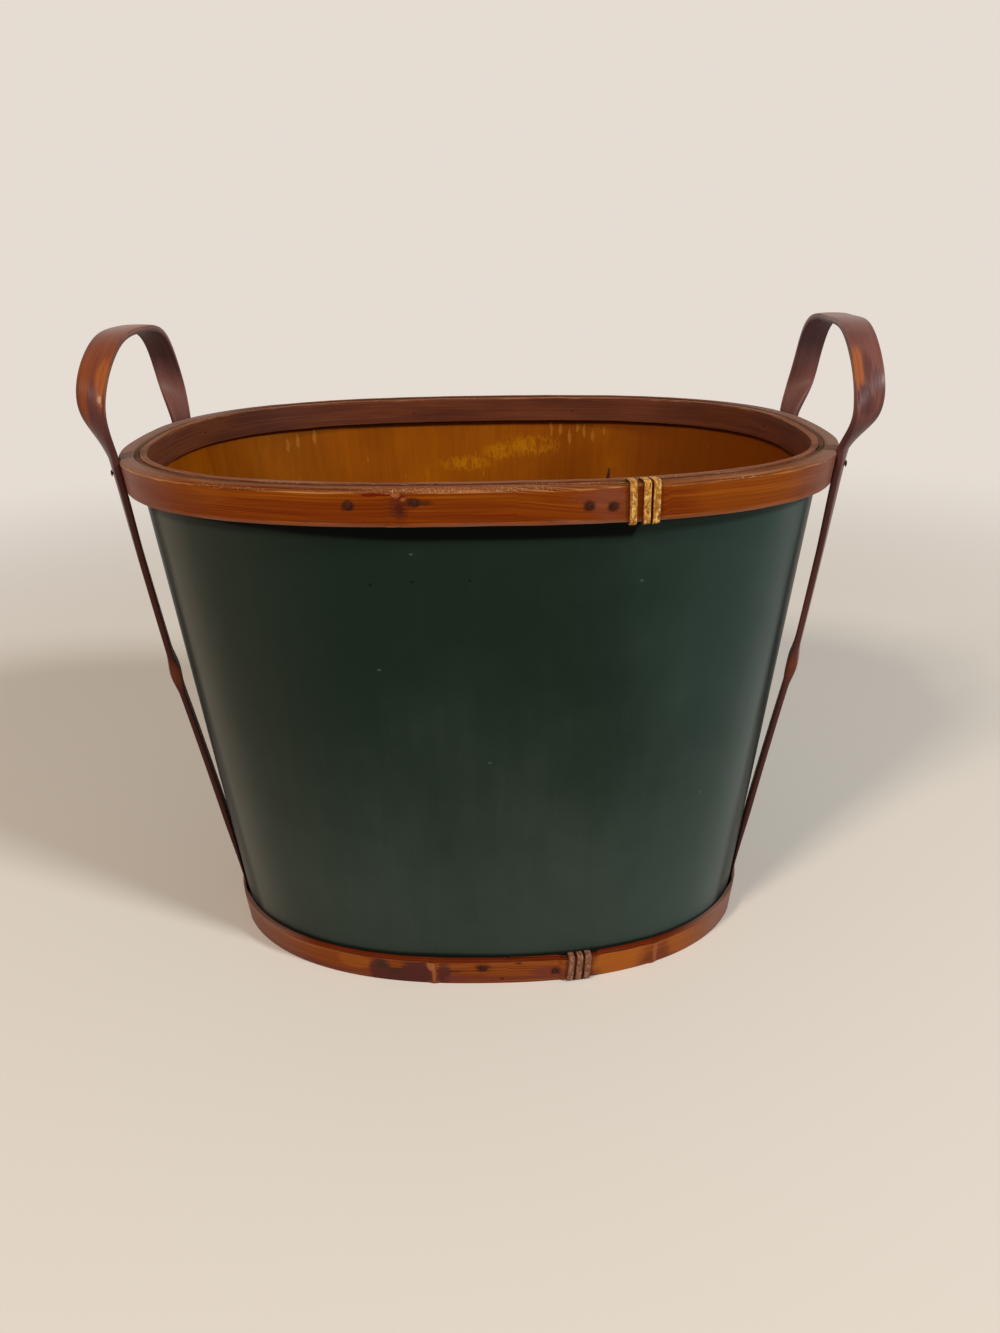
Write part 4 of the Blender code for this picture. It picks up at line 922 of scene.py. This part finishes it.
def make_foot_hoop():
    middle = FOOT_HOOP_HEIGHT / 2
    strip = LappedStrip(FRONT, FOOT_LAP_X, FOOT_LAP_LENGTH, middle, HOOP_STATIONS)
    wrapped = wrapped_part(strip, FOOT_WRAPS_X)
    lift = wrapped * (STRAND_ROOM - GAP)
    tucked = np.max([strip.bump(leg_turn(handle, way, middle), TUCK_HOLLOW_WIDTH, TUCK_HOLLOW_RUN)
                     for handle in HANDLES.values() for way in (-1, 1)], axis=0)
    nodes = np.sum([bamboo_node(strip, x) for x in FOOT_NODES_X], axis=0)
    inner, outer = strip.scarfed(GAP + lift + tucked * (TUCK_THICKNESS + GAP),
                                 FOOT_HOOP_OUTSIDE + lift - tucked * TUCK_PINCH)
    material = split_bamboo("foot_bamboo", FOOT_TONES + (RED_TOP, RED_TOP_PALE), FOOT_MARKS, FOOT_HOOP_OUTSIDE,
                            (PURPLE_RED, 0.27, 0.9, 0.3), dull_from=0.105, arris_strength=0.25)
    hoop = make_hoop("foot_hoop", strip, inner, outer + nodes, wrapped * STRAND_ROOM,
                     FOOT_HOOP_HEIGHT - strip.waver(*FOOT_HOOP_WAVER), EDGE_ROUNDING, FACE_POINTS, material)
    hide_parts("bottom_hoop")


make_foot_hoop()


# The lashings: flat cane wound three times round each hoop's lap, with its ends tucked behind. The rim's is
# mottled straw and brown, and the foot's is rubbed grey-brown.
WRAP_CORNER_RADIUS = 0.0014
WRAP_CORNER_POINTS = 7
WRAP_CLIMB = 0.16
WRAP_POINTS = 72
CANE_POINTS = 24
SMALL_TURN = 1e-4
TOP_WRAP_LEAN, FOOT_WRAP_LEAN = 0.0015, 0.0
# Each cane's main, pale, brown and dark tone
STRAW_TONES = ((0.43, 0.19, 0.022), (0.7, 0.45, 0.17), (0.24, 0.075, 0.005), (0.06, 0.012, 0.003))
GREY_TONES = ((0.2, 0.08, 0.042), (0.33, 0.17, 0.11), (0.13, 0.048, 0.026), (0.05, 0.018, 0.011))


def cane(name, tones):
    """Cane: fine lengthwise fibres, patches and specks where dirt stayed or varnish went, and painted shade at
    its edges.
    """
    base, pale, brown, dark = tones
    material, start, shader = new_material(name)
    grain, section = strip_map(start, "grain"), strip_map(start, "section")
    fibres = grain.strands(90.0, 3000.0, 2.0)
    blotches = grain.strands(170.0, 240.0, 3.0, 0.65)
    specks = grain.strands(420.0, 620.0, 2.0, 0.7)
    colour = blotches.ease(0.6, 0.42).mix(brown, base)
    colour = ((fibres * 0.4 + specks * 0.6).ease(0.5, 0.62) * 0.9).mix(colour, pale)
    colour = ((specks * 0.5 + blotches * 0.5).ease(0.46, 0.39) * 0.85).mix(colour, dark)
    # Painted shade: both edges of the cane darken, where it meets the next turn and the hoop.
    edges = section.axis(0).near(0.5, 0.4, 0.1)
    coat(shader, edges.mix(dark, colour), 0.45 + specks * 0.3, 0.15,
         fibres * 0.0001 + blotches * 0.0002 + specks * 0.0001, 0.8)
    return material


def wrap_route(inner, outer, low, high):
    """One round of cane about a hoop's section: a box with round corners, from inside, under, up and over.

    Returns offsets, heights and outward angles at even steps, each step's share of the round, and its length.
    """
    angles = np.radians(np.arange(180.0, 540.0, 90.0)[:, None] + np.linspace(0.0, 90.0, WRAP_CORNER_POINTS))
    circle = np.stack([np.cos(angles), np.sin(angles)], axis=-1)
    near, far = inner + WRAP_CORNER_RADIUS, outer - WRAP_CORNER_RADIUS
    bottom, top = low + WRAP_CORNER_RADIUS, high - WRAP_CORNER_RADIUS
    centres = np.array([(near, bottom), (far, bottom), (far, top), (near, top)])
    arcs = (centres[:, None] + WRAP_CORNER_RADIUS * circle).reshape(-1, 2)
    start = [(inner, (low + high) / 2)]
    points = np.concatenate([start, arcs, start])
    angles = np.concatenate([[np.pi], angles.ravel(), [3 * np.pi]])
    along = metres_along(points)
    even = np.linspace(0.0, along[-1], WRAP_POINTS + 1)
    rows = [np.interp(even, along, row) for row in (*points.T, angles)]
    return rows, even / along[-1], along[-1]


def make_lashing(name, node, wraps_x, lean, level, outside, low, high, material):
    """The strand's path goes round the hoop's section and moves along to the next wrap behind it.

    lean is how much further right a turn is at the hoop's lower edge than at its upper one.
    """
    clear = WRAP_CLEARANCE + CANE_THICKNESS / 2
    rows, share, once = wrap_route(clear, outside + clear, low - clear, high + clear)
    offsets, heights, angles = [np.append(np.tile(row[:-1], len(wraps_x)), row[-1]) for row in rows]
    climb_in, climb_out = eased(share / WRAP_CLIMB), eased((share - 1.0 + WRAP_CLIMB) / WRAP_CLIMB)
    wraps, between = wrap_places(wraps_x, level)
    turns = [start + (middle - start) * climb_in + (end - middle) * climb_out
             for start, middle, end in zip(between, wraps, between[1:])]
    turns = np.concatenate([turn[:-1] for turn in turns] + [turns[-1][-1:]])
    turns = turns + ((low + high) / 2 - heights) / (high - low) * lean / round_length(level)
    centre = face_at(turns, heights, offsets)
    ahead, behind = [face_at(turns + step, heights, offsets) for step in (SMALL_TURN, -SMALL_TURN)]
    along_hoop = unit(ahead - behind)
    outward = unit(face_at(turns, heights, offsets + CANE_THICKNESS) - centre)
    lifted = outward * np.cos(angles)[:, None] + np.array([0.0, 0.0, 1.0]) * np.sin(angles)[:, None]
    around = np.linspace(0.0, 2 * np.pi, CANE_POINTS, endpoint=False)
    across = CANE_WIDTH / 2 * signed_power(np.cos(around), 0.6)[:, None]
    proud = CANE_THICKNESS / 2 * signed_power(np.sin(around), 0.7)[:, None]
    points = centre[:, None] + along_hoop[:, None] * across + lifted[:, None] * proud
    section = np.hstack([across / CANE_WIDTH, proud / CANE_THICKNESS]) + 0.5
    metres = np.linspace(0.0, once * len(wraps_x), len(turns))
    lashing = solid_strip(name, points, metres, section, material)
    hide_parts(node)


make_lashing("rim_lashing", "top_lashing", TOP_WRAPS_X, TOP_WRAP_LEAN, BODY_HEIGHT,
             TOP_HOOP_OUTSIDE, RIM_LOW, BODY_HEIGHT, cane("straw_cane", STRAW_TONES))
make_lashing("foot_lashing", "bottom_lashing", FOOT_WRAPS_X, FOOT_WRAP_LEAN, FOOT_HOOP_HEIGHT / 2,
             FOOT_HOOP_OUTSIDE + STRAND_ROOM - GAP, STRAND_ROOM, FOOT_HOOP_HEIGHT,
             cane("grey_cane", GREY_TONES))


# The handles: one strip of split bamboo each, steamed and bent. Each is tucked under the foot hoop, runs up the
# outside of the rim to its nail, twists a quarter turn and loops over from the front leg to the back one.
STRIP_WIDTH, STRIP_THICKNESS = 0.0156, 0.0038
STRIP_EDGE, STRIP_CROWN = 0.0005, 0.0004
INSIDE_POINTS, CROWN_POINTS = 7, 11
TUCK_DEPTH, TUCK_RUN = 0.0145, 0.06
LEG_NODE_HEIGHT, LEG_NODE_STANDOFF = 0.179, 0.009
LEG_NODE_SWELL, LEG_NODE_RUN = 0.0026, 0.014
LEG_RIM_STANDOFF, LEG_RIM_LEAN = 0.0004, 0.0003
LEG_EDGE_PRESS, LEG_CURL_RUN = 0.0004, 0.04
LEG_FOOT_CURVE, LEG_TOP_CURVE = 1.35, 1.5
HANDLE_NAIL_DROP = 0.008
LEG_STATIONS, LOOP_STATIONS = 120, 200
CHORD_TURN = 1e-3

HANDLE_RED = (0.205, 0.045, 0.012)
HANDLE_DEEP = (0.105, 0.022, 0.009)
HANDLE_PALE = (0.33, 0.1, 0.028)
HANDLE_DULL = (0.14, 0.058, 0.05)
HANDLE_PURPLE = (0.07, 0.022, 0.02)
HANDLE_GOLD = (0.36, 0.095, 0.016)
HANDLE_GLINT = (0.6, 0.28, 0.15)
HANDLE_INSIDE = (0.192, 0.078, 0.062)
HANDLE_INSIDE_SHADED = (0.095, 0.048, 0.056)
HANDLE_LEG = (0.05, 0.012, 0.008)
HANDLE_LEG_RIGHT = (0.085, 0.026, 0.022)
# Marks on the loops: place, half sizes, how ragged, colour, strength
LOOP_MARKS = (
    ((-0.1945, -0.065, 0.348), (0.0036, 0.011, 0.011), 3.0, HANDLE_GOLD, 0.42),
    ((-0.2005, -0.072, 0.337), (0.003, 0.008, 0.012), 3.0, HANDLE_PURPLE, 0.6),
    ((-0.197, -0.0745, 0.325), (0.007, 0.006, 0.0085), 2.5, HANDLE_PURPLE, 0.75),
    ((-0.1953, -0.0728, 0.3378), (0.0009, 0.003, 0.0018), 4.0, HANDLE_GLINT, 0.45),
    ((0.19, -0.07, 0.348), (0.003, 0.012, 0.011), 3.0, HANDLE_GOLD, 0.6),
    ((0.195, -0.07, 0.348), (0.0026, 0.008, 0.008), 3.0, HANDLE_PURPLE, 0.7),
    ((0.1985, -0.074, 0.341), (0.0024, 0.008, 0.008), 4.0, HANDLE_PURPLE, 0.7),
    ((0.1932, -0.0775, 0.333), (0.004, 0.006, 0.007), 2.5, HANDLE_PURPLE, 0.85),
    ((0.1965, -0.078, 0.331), (0.003, 0.006, 0.008), 4.0, HANDLE_PURPLE, 0.65),
    ((0.1925, -0.056, 0.361), (0.006, 0.006, 0.006), 3.0, HANDLE_PURPLE, 0.3),
)


def leg_offset(height):
    """How far the middle of a leg stands out from the wall: two power curves that meet at the leg's node."""
    tucked = GAP + TUCK_THICKNESS / 2
    rim = TOP_HOOP_OUTSIDE + LEG_RIM_STANDOFF + STRIP_THICKNESS / 2
    rise = np.clip((height - FOOT_HOOP_HEIGHT) / (LEG_NODE_HEIGHT - FOOT_HOOP_HEIGHT), 0.0, 1.0)
    close = np.clip((RIM_LOW - height) / (RIM_LOW - LEG_NODE_HEIGHT), 0.0, 1.0)
    lean = np.clip((height - RIM_LOW) / TOP_HOOP_HEIGHT, 0.0, 1.0) * LEG_RIM_LEAN
    below = tucked + (LEG_NODE_STANDOFF - tucked) * rise ** LEG_FOOT_CURVE
    above = rim - (rim - LEG_NODE_STANDOFF) * close ** LEG_TOP_CURVE + lean
    return np.where(height < LEG_NODE_HEIGHT, below, above)


def leg_rows(handle, way):
    """A leg from its tucked end up to the top of the rim, in rows: place, width direction, thickness and curl.

    The curl is how far the strip's edges bend in, so that it follows the rim hoop's curve behind it.
    """
    heights = np.linspace(FOOT_HOOP_HEIGHT - TUCK_DEPTH, BODY_HEIGHT, LEG_STATIONS)
    turns = np.array([leg_turn(handle, way, height) for height in heights])
    chords = face_at(turns + CHORD_TURN, heights, 0.0) - face_at(turns - CHORD_TURN, heights, 0.0)
    reach = STRIP_WIDTH / 2 / round_length(BODY_HEIGHT)
    edges = (face_at(turns - reach, heights, 0.0) + face_at(turns + reach, heights, 0.0)) / 2
    sag = np.linalg.norm(face_at(turns, heights, 0.0) - edges, axis=1)
    grown = eased((heights - FOOT_HOOP_HEIGHT) / TUCK_RUN)
    node = bump(heights - LEG_NODE_HEIGHT, 0.0, LEG_NODE_RUN) * LEG_NODE_SWELL
    return np.column_stack([
        face_at(turns, heights, leg_offset(heights)), chords * np.sign(chords[:, :1] * handle["side"]),
        TUCK_THICKNESS + (STRIP_THICKNESS - TUCK_THICKNESS) * grown + node,
        (sag + LEG_EDGE_PRESS) * eased((heights - RIM_LOW + LEG_CURL_RUN) / LEG_CURL_RUN),
    ])


def smooth_curve(knots, points, at):
    """Natural cubic spline: its bends at the knots solve one linear system. It is read off at some places."""
    gaps = np.diff(knots)
    slopes = np.diff(points, axis=0) / gaps[:, None]
    system = np.eye(len(knots))
    pull = np.zeros_like(points)
    inside = np.arange(1, len(knots) - 1)
    system[inside, inside - 1] = gaps[:-1]
    system[inside, inside] = 2 * (gaps[:-1] + gaps[1:])
    system[inside, inside + 1] = gaps[1:]
    pull[1:-1] = 6 * np.diff(slopes, axis=0)
    bends = np.linalg.solve(system, pull)
    span = np.clip(np.searchsorted(knots, at, side="right") - 1, 0, len(gaps) - 1)
    gap = gaps[span][:, None]
    first = (knots[span + 1] - at)[:, None] / gap
    last = 1.0 - first
    sag = (first ** 3 - first) * bends[span] + (last ** 3 - last) * bends[span + 1]
    return first * points[span] + last * points[span + 1] + sag * gap ** 2 / 6


def loop_points(handle, start, end, lead_in, lead_out):
    """The loop above the rim, a spline through points set out from the two nails."""
    side = handle["side"]
    marks = [leg + np.array([side * lean, across * (spread - handle["leg_spread"]), height])
             for leg, across in ((start, -1), (end, 1))
             for spread, height, lean in (handle["loop"], handle["shoulder"])]
    rise, lean = handle["top"]
    crown = face_at(RIGHT if side > 0 else LEFT, BODY_HEIGHT, leg_offset(BODY_HEIGHT) + lean)
    crown = crown + np.array([0.0, handle["middle"], rise])
    route = np.array([lead_in, start, *marks[:2], crown, *marks[:1:-1], end, lead_out])
    knots = np.append(0.0, np.cumsum(np.linalg.norm(np.diff(route, axis=0), axis=1) ** 0.5))
    return smooth_curve(knots, route, np.linspace(knots[1], knots[-2], LOOP_STATIONS)[1:-1])


def handle_bamboo():
    """Glossy reddish-brown strip: fine fibres, purple-brown stains, a plainer inside and darker legs, with a
    painted glint on the left loop, painted highlights along the edges and painted shade inside the top of the
    loop.

    The right handle is duller than the left one, partly as a painted reflection of the cool light on that side. A
    faint ring of scar stands round each leg's node.
    """
    material, start, shader = new_material("handle_bamboo")
    grain, section, place = strip_map(start, "grain"), strip_map(start, "section"), object_place(start)
    hairs = grain.strands(10.0, 2200.0, 3.0, 0.65)
    strands = grain.strands(5.0, 520.0, 2.0)
    broad = grain.strands(20.0, 130.0, 3.0)
    colour = (hairs * 0.3 + strands * 0.35 + broad * 0.35).ease(0.34, 0.64).mix(HANDLE_DEEP, HANDLE_RED)
    colour = ((strands * 0.6 + broad * 0.4).ease(0.54, 0.72) * 0.5).mix(colour, HANDLE_PALE)
    # The right handle is duller and more purple: partly its own colour, partly a painted reflection of the cool
    # light on that side.
    right = place.axis(0).ease(-0.1, 0.1)
    colour = (right * 0.75).mix(colour, HANDLE_DULL)
    patches = grain.strands(30.0, 110.0, 3.0)
    outer_edge = section.axis(0).ease(0.55, 0.95)
    stained = (patches * 0.7 + outer_edge * 0.12 + strands * 0.3).ease(0.52, 0.64)
    colour = (stained * 0.5).mix(colour, HANDLE_PURPLE)
    streaky = (hairs * 0.5 + strands * 0.5 - 0.5) * 1.6 + 0.5
    colour = marked(colour, place, streaky, LOOP_MARKS)
    colour = (hairs.ease(0.45, 0.36) * 0.45).mix(colour, HANDLE_LEG)
    height = place.axis(2)
    inner = section.axis(1).ease(0.45, 0.3)
    # Painted shade: the inside of the loop darkens towards its top, which faces down.
    high = (height + (patches - 0.5) * 0.02).ease(BODY_HEIGHT + 0.012, BODY_HEIGHT + 0.045)
    inside = high.mix(HANDLE_INSIDE, HANDLE_INSIDE_SHADED)
    colour = (inner * 0.85).mix(colour, hairs.ease(0.28, 0.6).mix(HANDLE_LEG, inside))
    neck = height.ease(BODY_HEIGHT + 0.028, BODY_HEIGHT + 0.008)
    neck = neck * place.axis(1).ease(0.02, -0.02).most(1.0 - inner)
    colour = (neck * (0.65 + patches * 0.5)).mix(colour, HANDLE_PURPLE)
    leg = height.ease(BODY_HEIGHT + 0.008, BODY_HEIGHT - 0.012)
    colour = (leg * (1.0 - strands * 0.2)).mix(colour, right.mix(HANDLE_LEG, HANDLE_LEG_RIGHT))
    scar = (height + (strands - 0.5) * 0.002).near(LEG_NODE_HEIGHT - 0.0022, 0.0004, 0.0012)
    colour = (scar * 0.5).mix(colour, STAIN)
    colour = (height.near(LEG_NODE_HEIGHT, 0.001, 0.012) * 0.45).mix(colour, HANDLE_RED)
    # Painted highlight: pale streaks along the strip's edges, left out at the neck.
    rubbed = grain.strands(40.0, 300.0, 3.0, 0.7).ease(0.5, 0.64)
    corner = section.axis(0).near(0.5, 0.47, 0.02)
    coat(shader, ((1.0 - corner) * rubbed * (1.0 - neck) * 0.45).mix(colour, HANDLE_PALE),
         0.2 + hairs * 0.14 + patches * 0.1 + inner * 0.15, 0.13,
         hairs * 0.00006 + strands * 0.00016 + patches * 0.0002, 0.7)
    return material


def strip_outline():
    """Places across the strip and through it: flat inside, softly crowned outside, with rounded edges."""
    half = STRIP_WIDTH / 2
    inside = [(x, -0.5, 0.0) for x in np.linspace(-half + STRIP_EDGE, half - STRIP_EDGE, INSIDE_POINTS)]
    crown = np.linspace(half - 2 * STRIP_EDGE, -half + 2 * STRIP_EDGE, CROWN_POINTS)
    outside = [(x, 0.5, -STRIP_CROWN * (x / half) ** 2) for x in crown]
    right = [(half - 0.2 * STRIP_EDGE, -0.38, 0.0), (half, -0.15, 0.0), (half, 0.15, 0.0),
             (half - 0.4 * STRIP_EDGE, 0.36, 0.0)]
    left = [(-x, share, shift) for x, share, shift in right[::-1]]
    return np.array(inside + right + outside + left)


def make_handle(name, handle, material):
    """Sections of the strip are carried along both legs and the loop, and twisted above the nails."""
    side = handle["side"]
    front, back = [leg_rows(handle, way) for way in (-1, 1)]
    lead = [face_at(leg_turn(handle, way, RIM_LOW), RIM_LOW, leg_offset(RIM_LOW)) for way in (-1, 1)]
    loop = loop_points(handle, front[-1, :3], back[-1, :3], *lead)
    shares = np.linspace(0.0, 1.0, len(loop), endpoint=False)[:, None]
    loop = np.hstack([loop, np.where(shares < 0.5, front[-1, 3:], back[-1, 3:])])
    rows = np.concatenate([front, loop, back[::-1]])
    points, widths, thickness, curls = rows[:, :3], rows[:, 3:6], rows[:, 6], rows[:, 7]
    untwisted = 1.0 - eased((points[:, 2] - BODY_HEIGHT + HANDLE_NAIL_DROP) / handle["twist_height"])
    angle = np.arctan2(widths[:, 1], side * widths[:, 0]) * untwisted
    widths = np.column_stack([side * np.cos(angle), np.sin(angle), 0.0 * angle])
    along = unit(np.gradient(points, axis=0))
    widths = unit(widths - along * np.sum(widths * along, axis=1, keepdims=True))
    outward = np.cross(along, widths) * -side
    across, share, shift = strip_outline().T
    depth = thickness[:, None] * share + shift
    depth = depth - (curls * untwisted)[:, None] * (across / (STRIP_WIDTH / 2)) ** 2
    sections = points[:, None] + widths[:, None] * across[:, None] + outward[:, None] * depth[..., None]
    spots = np.stack([across / STRIP_WIDTH + 0.5, share + 0.5], axis=-1)
    piece = solid_strip(name + "_strip", sections, metres_along(points), spots, material)
    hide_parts(name)


handle_material = handle_bamboo()
for handle_name, handle_shape in HANDLES.items():
    make_handle(handle_name, handle_shape, handle_material)


# The nails: small dark iron nails with low round heads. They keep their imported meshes, and get a rusted finish.
# Their colour is a near-black iron with brown rust in fine blotches.
IRON = (0.014, 0.004, 0.003)
RUST = (0.07, 0.013, 0.004)


def nail_iron():
    material, start, shader = new_material("rusted_iron")
    rough = object_place(start).noise(1800.0, 3.0, 0.7)
    coat(shader, rough.ease(0.4, 0.65).mix(IRON, RUST), 0.55 + rough * 0.3, 0.1, rough * 0.0002, 0.6)
    return material


iron = nail_iron()
for node_name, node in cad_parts.items():
    if "nail" in node_name:
        node.data.materials.clear()
        node.data.materials.append(iron)
